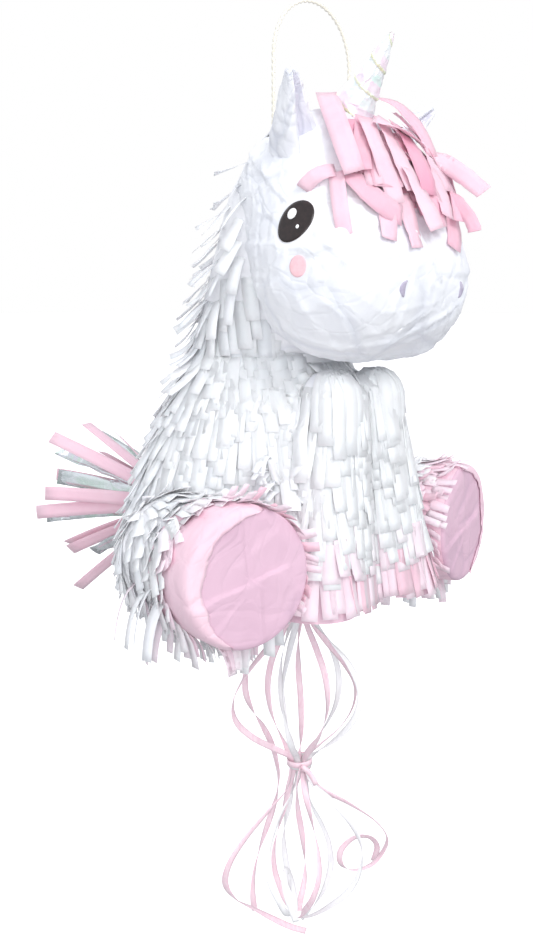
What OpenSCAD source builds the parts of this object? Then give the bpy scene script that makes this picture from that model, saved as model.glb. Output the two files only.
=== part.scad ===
// Sitting baby unicorn pull-ribbon pinata: cardboard shell, tissue fringe, foil horn,
// hanging loop, trap door and hanging ribbons.
// Millimetres, +Z up. The origin is the inner top of the hanging loop.
// The unicorn faces -Y and its right side is -X.

/* [Height] */
// Height of the hanging loop's inner top above the underside of the body
hang_h = 419.5; // [380:0.5:460]
// Sideways half spacing of the two string legs
loop_half_w = 41; // [30:1:50]
// Front-to-back place of the string and of the dowel inside the head
hang_y = -21; // [-40:1:0]
// Height of the dowel inside the head above the base
dowel_z = 298; // [280:1:310]
// String diameter
string_d = 3; // [2:0.2:5]

/* [Body] */
// Front-to-back place of the body's upright axis
body_y = 22; // [10:1:30]
// Largest body radius, near the base
body_r = 110; // [95:1:125]
// Radius of the body where the neck starts
neck_r = 57; // [45:1:65]
// Height of the body where the neck starts
neck_z = 178; // [160:1:190]
// Cardboard thickness
wall = 2.5; // [2:0.5:4]
// Thickness of the tissue fringe skin
fringe_t = 1; // [1:0.1:4]

/* [Head] */
// Radius of the back of the head
cranium_r = 68; // [60:1:75]
// Radius of the cheeks and muzzle
muzzle_r = 57.5; // [50:1:64]
// Height of the back of the head's centre above the base
cranium_z = 277; // [265:1:290]
// Height of the muzzle's centre above the base
muzzle_z = 233; // [225:1:245]
// Length of each ear
ear_len = 57; // [40:1:60]
// Radius of an ear at its root
ear_r = 17.5; // [15:0.5:24]
// Length of the horn
horn_len = 60; // [45:1:80]
// Forward lean of the horn, degrees
horn_lean = 36; // [20:1:45]
// Radius of the horn at its base
horn_r = 14; // [9:1:16]

/* [Legs] */
// Sideways place of each front leg at the hoof
front_leg_x = 46; // [40:1:47]
// Radius of a front leg at the hoof
front_leg_r = 27.5; // [22:0.5:28]
// Radius of a front leg at its top
front_leg_top = 19.5; // [15:0.5:24]
// Length of a front leg up to its rounded top
front_leg_h = 150; // [125:1:155]
// Sideways place of the centre of each hind sole
sole_x = 124; // [118:1:135]
// Radius of each hind sole
sole_r = 46.5; // [40:0.5:50]
// Outward splay of each hind foot, degrees
splay = 13; // [5:1:25]

/* [Door and flap] */
// Half width of the trap door in the base
door_half_w = 42; // [30:1:48]
// Front edge of the trap door
door_y0 = 20; // [18:1:30]
// Hinge line of the trap door
door_y1 = 98; // [85:1:102]
// Half width of the filling flap in the back
flap_half_w = 30; // [22:1:34]
// Lower edge of the filling flap above the base
flap_z0 = 112; // [100:1:125]
// Upper edge of the filling flap above the base
flap_z1 = 166; // [150:1:170]

/* [Tail and ribbons] */
// Length of the tail strips
tail_len = 104; // [70:1:120]
// Height of the tail's root above the base
tail_z = 47; // [45:1:80]
// Thickness of a pull ribbon's stand-in tube
ribbon_d = 2.4; // [1.6:0.2:3]
// Front-to-back place of the decoy ribbons' bunch
ribbon_y = -12; // [-20:1:-8]
// Distance of the ribbon tie below the base
tie_z = 140; // [120:1:160]

/* [Hidden] */
gap = 0.3;
muzzle_y = -69;
muzzle_x = 24;
cranium_y = -38;
chest_y = -59;
chest_t = 3;
sole_y = -74;
sole_z = 40;
leg_back = 80;
hind_r = 44;
foot_len = 45;
string_r = string_d / 2;
dowel_r = 3;
eye_ring_r = dowel_r + 0.4 + string_r;
arc_z = hang_h + string_r - loop_half_w;
horn_base = [0, -55, 342];
tail_root = [0, body_y + 102, tail_z];
// A decoy ribbon's route: distance from the bunch's axis, sideways, height above the base
route_a = [[4, 0, -3], [4.4, 0, -12], [11, 1, -25], [27, 3, -40], [46, 5, -57], [58, 4, -77],
    [55, 0, -96], [40, -2, -113], [21, -2, -126], [8.5, 0, -134], [5.6, 0, -140], [6, 0, -149],
    [13, 2, -160], [31, 5, -173], [50, 6, -189], [62, 3, -208], [62, -4, -228], [51, -9, -246],
    [34, -11, -260], [19, -8, -271], [6, -3, -279], [-6, 1, -284]];
route_b = [[4, 0, -3], [4.4, 0, -13], [9, -1, -27], [20, -3, -44], [33, -4, -62], [42, -2, -81],
    [41, 1, -100], [31, 2, -116], [17, 1, -127], [8, 0, -134], [5.6, 0, -140], [6, 0, -150],
    [15, -3, -162], [36, -8, -174], [57, -10, -190], [68, -5, -207], [68, 3, -223], [60, 8, -237],
    [46, 9, -241], [35, 6, -233], [34, 3, -219], [44, 2, -209], [57, 4, -211], [65, 10, -223],
    [64, 16, -239]];
route_c = [[4, 0, -3], [4.4, 0, -12], [12, 0, -26], [31, 2, -42], [50, 3, -60], [59, 1, -80],
    [53, -3, -100], [37, -4, -115], [19, -2, -127], [8.5, 0, -134], [5.6, 0, -140], [6, 0, -151],
    [11, 1, -166], [21, 3, -184], [36, 3, -203], [45, 0, -222], [42, -5, -240], [29, -7, -255],
    [14, -5, -266], [3, 0, -274]];
// The release ribbon's route from the trap door's tab
route_r = [[0, 24, -4], [0, 24, -16], [-4, 25, -32], [-12, 26, -50], [-19, 27, -68], [-20, 27, -87],
    [-13, 26, -105], [-2, 25, -121], [8, 25, -138], [16, 27, -156], [22, 30, -174], [22, 33, -193],
    [14, 34, -211], [3, 33, -228], [-6, 31, -245], [-9, 30, -262], [-7, 30, -279]];

// Moves a shape drawn above the base into the frame whose origin is the loop's inner top
module lift() {
    translate([0, 0, -hang_h]) children();
}

// Smooth curve through a route's points
function blend(a, b, c, d, t) = 0.5 * (2 * b + (c - a) * t
    + (2 * a - 5 * b + 4 * c - d) * t * t + (3 * b - a - 3 * c + d) * t * t * t);
function smooth(p, n) = concat([for (i = [0:len(p) - 2], k = [0:n - 1])
    blend(p[max(i - 1, 0)], p[i], p[i + 1], p[min(i + 2, len(p) - 1)], k / n)], [p[len(p) - 1]]);
function unit(v) = v / norm(v);
function tangent(p, i) = unit(p[min(i + 1, len(p) - 1)] - p[max(i - 1, 0)]);
function square_to(u, t) = unit(u - (u * t) * t);
function sides(p, u0) = [for (i = 0, u = square_to(u0, tangent(p, 0)); i < len(p);
    i = i + 1, u = i < len(p) ? square_to(u, tangent(p, i)) : u) u];

// Closed round tube along a curve
module tube(p, r, n, u0) {
    s = sides(p, u0);
    m = len(p);
    pts = [for (i = [0:m - 1], k = [0:n - 1])
        p[i] + r * (cos(360 * k / n) * s[i] + sin(360 * k / n) * cross(tangent(p, i), s[i]))];
    walls = [for (i = [0:m - 2], k = [0:n - 1])
        [i * n + k, (i + 1) * n + k, (i + 1) * n + (k + 1) % n, i * n + (k + 1) % n]];
    ends = [[for (k = [0:n - 1]) k], [for (k = [0:n - 1]) (m - 1) * n + n - 1 - k]];
    polyhedron(points = pts, faces = concat(walls, ends), convexity = 10);
}

// The body's outer surface as a solid of revolution, grown or shrunk by g
module bell(g, z0, z1) {
    translate([0, body_y, 0]) intersection() {
        rotate_extrude($fn = 96) polygon([[0, -20], [body_r - 2 + g, -20], [body_r - 2 + g, 0],
            [body_r + g, 18], [body_r - 3 + g, 48], [body_r - 10 + g, 76], [body_r - 20 + g, 104],
            [body_r - 35 + g, 138], [neck_r + 5 + g, 166], [neck_r + g, neck_z], [neck_r - 6 + g, 192],
            [0, 192]]);
        translate([-200, -200, z0]) cube([400, 400, z1 - z0]);
    }
}

// Everything in front of the flat chest, for cutting
module front_of(y, z1) {
    translate([-200, y - 300, -50]) cube([400, 300, z1 + 50]);
}

// The head as one smooth shape, grown by g
module head_solid(g, n) {
    hull() {
        translate([0, cranium_y, cranium_z]) sphere(r = cranium_r + g, $fn = n);
        translate([muzzle_x, muzzle_y, muzzle_z]) sphere(r = muzzle_r + g, $fn = n);
        translate([-muzzle_x, muzzle_y, muzzle_z]) sphere(r = muzzle_r + g, $fn = n);
    }
}

// The neck between the body's top and the head, grown by g
module neck_solid(g) {
    hull() {
        translate([0, body_y, neck_z + 0.2]) cylinder(r = neck_r + g, h = 0.5, $fn = 56);
        translate([0, cranium_y + 14, cranium_z - 13]) sphere(r = cranium_r - 2 + g, $fn = 44);
    }
}

// One front leg, side s, grown by g: a cone that leans in towards the chest, with a rounded top
module front_leg_solid(s, g) {
    intersection() {
        translate([s * front_leg_x, -66, 0]) rotate([-2.5, -s * 8.1, 0]) {
            translate([0, 0, -12])
                cylinder(r1 = front_leg_r + 0.7 + g, r2 = front_leg_top + g, h = front_leg_h + 12, $fn = 64);
            translate([0, 0, front_leg_h]) sphere(r = front_leg_top + g, $fn = 64);
        }
        translate([-200, -200, -g]) cube([400, 400, 300]);
    }
}

// Turns a shape drawn along +Y from the sole's centre into a hind leg's place, side s
module at_sole(s) {
    translate([s * sole_x, sole_y, sole_z]) rotate([0, 0, s * splay]) children();
}

// One hind leg, side s, grown by g
module hind_leg_solid(s, g) {
    at_sole(s) {
        translate([0, -g, 0]) rotate([-90, 0, 0]) cylinder(r = hind_r + g, h = leg_back + g, $fn = 72);
        translate([0, leg_back, 0]) sphere(r = hind_r + g, $fn = 72);
    }
}

// What a hind leg may not enter
module body_cut() {
    bell(gap, -30, 185);
    translate([-78, chest_y - chest_t - gap, -30]) cube([156, 60, 170]);
}

// Where the filling flap is, with clearance c all round
module flap_zone(c) {
    translate([-flap_half_w - c, body_y + 20, flap_z0 - c])
        cube([2 * (flap_half_w + c), 100, flap_z1 - flap_z0 + 2 * c]);
}

// A patch of the head's surface between heights g0 and g1, inside a round or oval column
module head_patch(at, turn, spin, rx, ry, g0, g1) {
    resize([0, 0, 0]) intersection() {
        difference() {
            head_solid(g1, 64);
            head_solid(g0, 64);
        }
        translate(at) rotate(turn) rotate([0, 0, spin]) scale([rx, ry, 1])
            cylinder(r = 1, h = 30, center = true, $fn = 28);
    }
}

module hanging_loop() {
    leg = [for (k = [0:7]) dowel_z + 9.4 + k * (arc_z - dowel_z - 9.4) / 8];
    pts = concat([for (z = leg) [-loop_half_w, hang_y, z]],
        [for (a = [180:-9:0]) [loop_half_w * cos(a), hang_y, arc_z + loop_half_w * sin(a)]],
        [for (k = [0:7]) [loop_half_w, hang_y, leg[7 - k]]]);
    color([0.93, 0.9, 0.8]) lift() tube(pts, string_r, 10, [0, 1, 0]);
}

module string_eyes() {
    color([0.9, 0.87, 0.76]) lift() for (s = [-1, 1]) translate([s * loop_half_w, hang_y, dowel_z]) {
        rotate([0, 90, 0]) rotate_extrude($fn = 48) translate([eye_ring_r, 0])
            circle(r = string_r, $fn = 24);
        translate([0, 0, eye_ring_r + 1.4]) sphere(r = 2.8, $fn = 32);
    }
}

module hanger_dowel() {
    color([0.8, 0.66, 0.46]) lift() translate([-52, hang_y, dowel_z]) rotate([0, 90, 0])
        cylinder(r = dowel_r, h = 104, $fn = 40);
}

module dowel_pads() {
    color([0.72, 0.58, 0.42]) lift() for (s = [-1, 1]) difference() {
        intersection() {
            translate([s * 56, hang_y, dowel_z]) rotate([0, 90, 0])
                cylinder(r = 11, h = 16, center = true, $fn = 40);
            translate([0, cranium_y, cranium_z]) sphere(r = cranium_r - 3.4, $fn = 96);
        }
        translate([s * 42, hang_y, dowel_z]) rotate([0, s * 90, 0])
            cylinder(r = dowel_r + 0.02, h = 10.02, $fn = 40);
    }
}

module body_shell() {
    color([0.93, 0.93, 0.95]) lift() difference() {
        bell(0, 0, neck_z);
        bell(-wall, -30, 200);
        front_of(chest_y, 200);
        flap_zone(0.4);
    }
}

module chest_panel() {
    color([0.95, 0.95, 0.97]) lift() intersection() {
        translate([0, -chest_t, 0]) bell(0, 0, neck_z);
        translate([-100, chest_y - chest_t, 0]) cube([200, chest_t - 0.02, 170]);
    }
}

module base_plate() {
    color([0.72, 0.58, 0.42]) lift() difference() {
        translate([0, body_y, 0]) cylinder(r = body_r - 2 - wall - 0.2, h = 3, $fn = 96);
        front_of(chest_y + 0.02, 10);
        translate([-door_half_w, door_y0, -5]) cube([2 * door_half_w, door_y1 - door_y0, 20]);
    }
}

module neck_shell() {
    color([0.95, 0.95, 0.97]) lift() resize([0, 0, 0]) difference() {
        neck_solid(0);
        neck_solid(-wall);
        translate([0, body_y, neck_z - 2]) cylinder(r = neck_r - wall, h = 6, $fn = 56);
        head_solid(gap, 44);
    }
}

module head_shell() {
    color([0.97, 0.97, 0.98]) lift() resize([0, 0, 0]) difference() {
        head_solid(0, 44);
        head_solid(-3, 40);
        for (s = [-1, 1]) translate([s * loop_half_w - 2.4, hang_y - 9, dowel_z + 12])
            cube([4.8, 18, 40]);
    }
}

// Turns a shape drawn upright from the ear's root into place, side s: outward, then forward
module at_ear(s) {
    translate([s * 47, -44, 319]) rotate([28, 0, 0]) rotate([0, s > 0 ? 42 : -33, 0]) children();
}

// An ear as a cone with a rounded tip, shrunk by g
module ear_cone(g) {
    cylinder(r1 = ear_r - g, r2 = 3 - g / 3, h = ear_len - 2.5, $fn = 64);
    translate([0, 0, ear_len - 2.5]) sphere(r = 3 - g / 3, $fn = 40);
}

module ear(s) {
    color([0.96, 0.96, 0.98]) lift() difference() {
        at_ear(s) difference() {
            translate([0, 0, -4]) ear_cone(0);
            translate([0, -5, -9]) cylinder(r1 = ear_r - 1, r2 = 1, h = ear_len, $fn = 64);
        }
        translate([0, cranium_y, cranium_z]) sphere(r = cranium_r + 0.4, $fn = 96);
    }
}

module ear_right() {
    ear(-1);
}

module ear_left() {
    ear(1);
}

module ear_inner(s) {
    color([0.84, 0.83, 0.9]) lift() difference() {
        at_ear(s) translate([0, -5, -9]) difference() {
            intersection() {
                cylinder(r1 = ear_r - 1.1, r2 = 0.9, h = ear_len, $fn = 64);
                translate([-40, 0.5, 0]) cube([80, 40, ear_len - 12]);
            }
            cylinder(r1 = ear_r - 1.9, r2 = 0.1, h = ear_len, $fn = 64);
        }
        translate([0, cranium_y, cranium_z]) sphere(r = cranium_r + 0.6, $fn = 96);
    }
}

module ear_inner_right() {
    ear_inner(-1);
}

module ear_inner_left() {
    ear_inner(1);
}

module horn_cone() {
    color([0.93, 0.9, 0.93]) lift() difference() {
        translate(horn_base) rotate([horn_lean, 0, 0]) difference() {
            cylinder(r1 = horn_r, r2 = 1.4, h = horn_len, $fn = 64);
            translate([0, 0, -1]) cylinder(r1 = horn_r - 1.4, r2 = 0.4, h = horn_len - 4, $fn = 64);
        }
        translate([0, cranium_y, cranium_z]) sphere(r = cranium_r + 0.5, $fn = 96);
    }
}

module horn_collar() {
    color([0.97, 0.86, 0.91]) lift() difference() {
        translate(horn_base) rotate([horn_lean, 0, 0]) translate([0, 0, -3]) difference() {
            cylinder(r = horn_r + 4, h = 6.5, $fn = 64);
            translate([0, 0, -1]) cylinder(r = horn_r + 0.9, h = 12, $fn = 64);
        }
        translate([0, cranium_y, cranium_z]) sphere(r = cranium_r + 0.5, $fn = 96);
    }
}

module eye(s) {
    color([0.13, 0.1, 0.1]) lift()
        head_patch([s * 66, -69, 265.5], [0, s * 90, s * 42], s * 35, 15, 11.6, 0.15, 0.75);
}

module eye_right() {
    eye(-1);
}

module eye_left() {
    eye(1);
}

module eye_shine(s) {
    color([0.99, 0.99, 0.99]) lift()
        head_patch([s * 64.7, -71.4, 270.5], [0, s * 90, s * 42], 0, 3.4, 3.4, 0.85, 1.25);
}

module eye_shine_right() {
    eye_shine(-1);
}

module eye_shine_left() {
    eye_shine(1);
}

module cheek(s) {
    color([0.99, 0.79, 0.83]) lift()
        head_patch([s * 77.3, -78.8, 237], [0, s * 90, s * 42], 0, 6.9, 6.8, 0.15, 0.6);
}

module cheek_right() {
    cheek(-1);
}

module cheek_left() {
    cheek(1);
}

module nostril(s) {
    color([0.72, 0.69, 0.78]) lift()
        head_patch([s * 31, -123, 223], [90, 0, s * 14], 0, 3, 5.5, 0.15, 0.7);
}

module nostril_right() {
    nostril(-1);
}

module nostril_left() {
    nostril(1);
}

module forelock() {
    color([0.95, 0.75, 0.84]) lift() resize([0, 0, 0]) difference() {
        intersection() {
            head_solid(5, 40);
            translate([4, -82, 302]) rotate([52, 0, 0])
                cylinder(r = 46, h = 90, center = true, $fn = 48);
        }
        head_solid(gap, 44);
        translate(horn_base) rotate([horn_lean, 0, 0]) translate([0, 0, -10])
            cylinder(r = horn_r + 4.5, h = 40, $fn = 40);
        translate([-80, -30, 300]) cube([160, 60, 80]);
        for (s = [-1, 1]) at_ear(s) translate([0, 0, -30]) cylinder(r = ear_r + 1.5, h = 90, $fn = 40);
    }
}

module front_leg(s) {
    color([0.96, 0.96, 0.98]) lift() difference() {
        front_leg_solid(s, 0);
        front_leg_cut(0);
        difference() {
            front_leg_solid(s, -3);
            front_leg_cut(3);
        }
    }
}

// What stands behind a front leg, grown by g
module front_leg_cut(g) {
    bell(gap + g, -30, 185);
    translate([-120, chest_y - chest_t - gap - g, -30]) cube([240, 80, 162 + g]);
}

module front_leg_right() {
    front_leg(-1);
}

module front_leg_left() {
    front_leg(1);
}

module front_hoof(s) {
    color([0.97, 0.8, 0.87]) lift() difference() {
        intersection() {
            front_leg_solid(s, fringe_t + 0.3);
            translate([-150, -200, 0]) cube([300, 200, 36]);
        }
        front_leg_solid(s, gap);
        front_leg_cut(0);
    }
}

module front_hoof_right() {
    front_hoof(-1);
}

module front_hoof_left() {
    front_hoof(1);
}

module hind_leg(s) {
    color([0.96, 0.96, 0.98]) lift() difference() {
        hind_leg_solid(s, 0);
        body_cut();
        difference() {
            hind_leg_solid(s, -2.2);
            bell(gap + 2.2, -30, 185);
        }
    }
}

module hind_leg_right() {
    hind_leg(-1);
}

module hind_leg_left() {
    hind_leg(1);
}

module hind_foot(s) {
    color([0.97, 0.85, 0.9]) lift() difference() {
        at_sole(s) rotate([-90, 0, 0]) difference() {
            cylinder(r = sole_r, h = foot_len, $fn = 72);
            translate([0, 0, -1]) cylinder(r = hind_r + gap, h = foot_len + 2, $fn = 72);
        }
        body_cut();
    }
}

module hind_foot_right() {
    hind_foot(-1);
}

module hind_foot_left() {
    hind_foot(1);
}

module sole(s) {
    color([0.92, 0.79, 0.88]) lift() at_sole(s) translate([0, -2.7, 0]) rotate([-90, 0, 0])
        cylinder(r = sole_r, h = 2.5, $fn = 72);
}

module sole_right() {
    sole(-1);
}

module sole_left() {
    sole(1);
}

module body_fringe() {
    color([0.98, 0.98, 1]) lift() difference() {
        bell(gap + fringe_t, 4, neck_z - 4);
        bell(gap, -30, 200);
        front_of(chest_y + 8, 200);
        flap_zone(1);
        for (s = [-1, 1]) {
            hind_leg_solid(s, 0.5);
            front_leg_solid(s, fringe_t + 0.8);
            at_sole(s) rotate([-90, 0, 0]) cylinder(r = sole_r + 0.5, h = foot_len + 1, $fn = 72);
        }
        translate(tail_root) rotate([-90, 0, 0]) cylinder(r = 15, h = 60, center = true, $fn = 48);
    }
}

module tail_core() {
    color([0.95, 0.78, 0.86]) lift() difference() {
        translate(tail_root) rotate([-90, 0, 0]) cylinder(r1 = 12, r2 = 24, h = 32, $fn = 48);
        bell(gap, -30, 200);
        translate(tail_root) translate([0, 2, 0]) rotate([-90, 0, 0])
            cylinder(r1 = 10.5, r2 = 22.5, h = 32, $fn = 48);
    }
}

// One tail strip leaning by a from straight back, turned by b round the tail
module tail_strip(a, b, w, l) {
    translate(tail_root) rotate([0, b, 0]) rotate([-a, 0, 0]) translate([-w / 2, 33 / cos(a), -0.4])
        cube([w, l, 0.8]);
}

module tail_strips() {
    color([0.93, 0.76, 0.85]) lift() union() {
        for (k = [0:8]) tail_strip(31, k * 40, 10, tail_len - 14);
        for (k = [0:4]) tail_strip(13, 20 + k * 72, 8, tail_len - 10);
    }
}

module decoy_patch() {
    color([0.98, 0.93, 0.96]) lift() translate([0, ribbon_y, -0.9]) cylinder(r = 16, h = 0.8, $fn = 48);
}

module trap_door() {
    color([0.74, 0.6, 0.44]) lift() translate([-door_half_w + 0.5, door_y0 + 0.5, 0])
        cube([2 * door_half_w - 1, door_y1 - door_y0 - 0.5, 3]);
}

module door_tab() {
    color([0.98, 0.93, 0.96]) lift() translate([0, door_y0 + 8, -0.9]) difference() {
        translate([-12, -7, 0]) cube([24, 22, 0.8]);
        translate([0, -4, -1]) cylinder(r = 0.6, h = 4, $fn = 24);
    }
}

module door_hinge_tape() {
    color([0.97, 0.97, 0.98]) lift() translate([-door_half_w + 2, door_y1 + 0.6, -0.5])
        cube([2 * door_half_w - 4, 16, 0.4]);
}

module fill_flap() {
    color([0.93, 0.93, 0.95]) lift() intersection() {
        difference() {
            bell(0, 0, neck_z);
            bell(-wall, -30, 200);
        }
        flap_zone(-0.1);
    }
}

module flap_fringe() {
    color([0.98, 0.98, 1]) lift() intersection() {
        difference() {
            bell(gap + fringe_t, 0, neck_z);
            bell(0.05, -30, 200);
        }
        translate([-flap_half_w, body_y + 20, flap_z0])
            cube([2 * flap_half_w, 100, flap_z1 - flap_z0 - 5]);
    }
}

module flap_tab() {
    color([0.98, 0.93, 0.96]) lift() intersection() {
        difference() {
            bell(gap + fringe_t + 1, 0, neck_z);
            bell(gap + fringe_t + 0.05, -30, 200);
        }
        translate([-9, body_y + 20, flap_z0 - 8]) cube([18, 100, 20]);
    }
}

module release_ribbon() {
    color([0.97, 0.8, 0.87]) lift() tube(smooth(route_r, 3), ribbon_d / 2, 8, [1, 0, 0]);
}

module ribbon_pad() {
    color([0.97, 0.8, 0.87]) lift() translate([0, ribbon_y, -2.6]) cylinder(r = 6.5, h = 1.4, $fn = 40);
}

module ribbon_tie() {
    color([0.96, 0.78, 0.86]) lift() translate([0, ribbon_y, -tie_z]) rotate_extrude($fn = 48)
        translate([8.4, -3]) square([2.4, 6]);
}

// A decoy ribbon: a route turned by a, widened by k and stretched down by v
function swing(route, a, k, v) = [for (p = route)
    let (r = p[0] < 8 ? p[0] : 8 + (p[0] - 8) * k, w = p[1] * k,
    z = p[2] > -tie_z ? p[2] : -tie_z + (p[2] + tie_z) * v)
    [r * cos(a) - w * sin(a), ribbon_y + r * sin(a) + w * cos(a), z]];

module decoy(route, a, k, v, c) {
    color(c) lift() tube(smooth(swing(route, a, k, v), 2), ribbon_d / 2, 8, [sin(a), -cos(a), 0.01]);
}

module decoy_ribbon_1() {
    decoy(route_a, 161, 1.02, 1, [0.97, 0.8, 0.87]);
}

module decoy_ribbon_2() {
    decoy(route_b, 205, 0.92, 1, [0.96, 0.96, 0.97]);
}

module decoy_ribbon_3() {
    decoy(route_c, 246, 0.75, 0.96, [0.97, 0.8, 0.87]);
}

module decoy_ribbon_4() {
    decoy(route_a, 288, 0.8, 0.92, [0.96, 0.96, 0.97]);
}

module decoy_ribbon_5() {
    decoy(route_b, 324, 1.04, 1, [0.97, 0.8, 0.87]);
}

module decoy_ribbon_6() {
    decoy(route_c, 0, 0.78, 1, [0.96, 0.96, 0.97]);
}

module decoy_ribbon_7() {
    decoy(route_a, 40, 0.42, 0.85, [0.97, 0.8, 0.87]);
}

module decoy_ribbon_8() {
    decoy(route_c, 82, 0.3, 0.9, [0.96, 0.96, 0.97]);
}

module decoy_ribbon_9() {
    decoy(route_c, 122, 0.34, 0.95, [0.97, 0.8, 0.87]);
}

hanging_loop();
string_eyes();
hanger_dowel();
dowel_pads();
body_shell();
chest_panel();
base_plate();
neck_shell();
head_shell();
ear_right();
ear_left();
ear_inner_right();
ear_inner_left();
horn_cone();
horn_collar();
eye_right();
eye_left();
eye_shine_right();
eye_shine_left();
cheek_right();
cheek_left();
nostril_right();
nostril_left();
forelock();
front_leg_right();
front_leg_left();
front_hoof_right();
front_hoof_left();
hind_leg_right();
hind_leg_left();
hind_foot_right();
hind_foot_left();
sole_right();
sole_left();
body_fringe();
tail_core();
tail_strips();
decoy_patch();
trap_door();
door_tab();
door_hinge_tape();
fill_flap();
flap_fringe();
flap_tab();
release_ribbon();
ribbon_pad();
ribbon_tie();
decoy_ribbon_1();
decoy_ribbon_2();
decoy_ribbon_3();
decoy_ribbon_4();
decoy_ribbon_5();
decoy_ribbon_6();
decoy_ribbon_7();
decoy_ribbon_8();
decoy_ribbon_9();
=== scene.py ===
import bpy, bmesh, math, random
from mathutils import Vector, Matrix, noise
from mathutils.bvhtree import BVHTree


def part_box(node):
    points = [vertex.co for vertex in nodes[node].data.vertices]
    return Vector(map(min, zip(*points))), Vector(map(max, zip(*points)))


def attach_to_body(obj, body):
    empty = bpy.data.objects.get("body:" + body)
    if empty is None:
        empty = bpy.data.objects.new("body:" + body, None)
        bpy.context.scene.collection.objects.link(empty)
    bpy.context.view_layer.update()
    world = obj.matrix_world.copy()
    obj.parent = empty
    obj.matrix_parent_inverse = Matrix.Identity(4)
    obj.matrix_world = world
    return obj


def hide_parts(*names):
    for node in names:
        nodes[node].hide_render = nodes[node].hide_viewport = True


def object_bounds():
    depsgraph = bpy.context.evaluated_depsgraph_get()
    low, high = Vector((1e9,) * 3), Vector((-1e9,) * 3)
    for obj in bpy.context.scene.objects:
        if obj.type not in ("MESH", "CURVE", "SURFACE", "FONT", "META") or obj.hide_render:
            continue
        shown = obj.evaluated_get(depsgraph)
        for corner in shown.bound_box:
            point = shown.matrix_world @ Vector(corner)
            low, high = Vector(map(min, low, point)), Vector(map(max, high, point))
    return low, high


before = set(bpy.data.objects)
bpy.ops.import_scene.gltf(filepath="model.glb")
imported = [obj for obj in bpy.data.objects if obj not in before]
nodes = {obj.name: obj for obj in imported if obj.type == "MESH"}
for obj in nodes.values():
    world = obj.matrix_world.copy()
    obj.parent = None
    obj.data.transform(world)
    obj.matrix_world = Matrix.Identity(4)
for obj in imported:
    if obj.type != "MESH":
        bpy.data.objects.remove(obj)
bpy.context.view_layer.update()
mm = 0.001
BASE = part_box("base_plate")[0].z          # underside of the body


def P(x, y, z):
    """A point given in millimetres, its height counted above the body's underside."""
    return Vector((x * mm, y * mm, BASE + z * mm))


def smoothstep(a, b, x):
    t = min(1.0, max(0.0, (x - a) / (b - a)))
    return t * t * (3 - 2 * t)


# ---------------------------------------- camera
def aim(loc, look, lens):
    data = bpy.data.cameras.new("camera")
    data.lens, data.sensor_width = lens, 36.0
    cam = bpy.data.objects.new("camera", data)
    bpy.context.scene.collection.objects.link(cam)
    cam.location = loc
    cam.rotation_mode = "QUATERNION"
    cam.rotation_quaternion = look.to_track_quat("-Z", "Y")
    bpy.context.scene.camera = cam
    return cam


def direction(azimuth, elevation):
    a, e = math.radians(azimuth), math.radians(elevation)
    return -Vector((math.sin(a) * math.cos(e), -math.cos(a) * math.cos(e), math.sin(e)))


EYE = P(-629.9, -556.1, 217.5)
LOOK = direction(-47.4, 8.9)
aim(EYE, LOOK, 42.77)

# ---------------------------------------- materials
def tree(name, rough=0.6, metal=0.0):
    m = bpy.data.materials.new(name)
    m.use_nodes = True
    b = m.node_tree.nodes["Principled BSDF"]
    b.inputs["Roughness"].default_value = rough
    b.inputs["Metallic"].default_value = metal
    return m, m.node_tree, b


def add(nt, kind, **kw):
    n = nt.nodes.new(kind)
    for k, v in kw.items():
        if k in n.inputs:
            n.inputs[k].default_value = v
        else:
            setattr(n, k, v)
    return n


def coords(nt, stretch=(1, 1, 1), turn=(0, 0, 0)):
    tc = add(nt, "ShaderNodeTexCoord")
    mp = add(nt, "ShaderNodeMapping")
    mp.inputs["Scale"].default_value = stretch
    mp.inputs["Rotation"].default_value = turn
    nt.links.new(tc.outputs["Object"], mp.inputs["Vector"])
    return mp.outputs["Vector"]


def noise_tex(nt, vec, scale, detail=3.0, rough=0.5, distort=0.0):
    n = add(nt, "ShaderNodeTexNoise", Scale=scale, Detail=detail, Roughness=rough, Distortion=distort)
    nt.links.new(vec, n.inputs["Vector"])
    return n


def ramp(nt, fac, stops):
    r = add(nt, "ShaderNodeValToRGB")
    el = r.color_ramp.elements
    el[0].position, el[0].color = stops[0][0], (*stops[0][1], 1)
    el[1].position, el[1].color = stops[-1][0], (*stops[-1][1], 1)
    for p, c in stops[1:-1]:
        e = el.new(p)
        e.color = (*c, 1)
    nt.links.new(fac, r.inputs["Fac"])
    return r.outputs["Color"]


def bump(nt, b, heights, strength=0.3, distance=0.0004):
    """heights: list of (socket, weight), added up."""
    total = None
    for sock, w in heights:
        m = add(nt, "ShaderNodeMath", operation="MULTIPLY")
        m.inputs[1].default_value = w
        nt.links.new(sock, m.inputs[0])
        if total is None:
            total = m.outputs[0]
        else:
            a = add(nt, "ShaderNodeMath", operation="ADD")
            nt.links.new(total, a.inputs[0])
            nt.links.new(m.outputs[0], a.inputs[1])
            total = a.outputs[0]
    bp = add(nt, "ShaderNodeBump", Strength=strength, Distance=distance)
    nt.links.new(total, bp.inputs["Height"])
    nt.links.new(bp.outputs["Normal"], b.inputs["Normal"])


def crumple(nt, vec, scale):
    v = add(nt, "ShaderNodeTexVoronoi", feature="DISTANCE_TO_EDGE", Scale=scale)
    nt.links.new(vec, v.inputs["Vector"])
    r = add(nt, "ShaderNodeMapRange")
    r.inputs["From Max"].default_value = 0.09
    nt.links.new(v.outputs["Distance"], r.inputs["Value"])
    return r.outputs["Result"]


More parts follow.
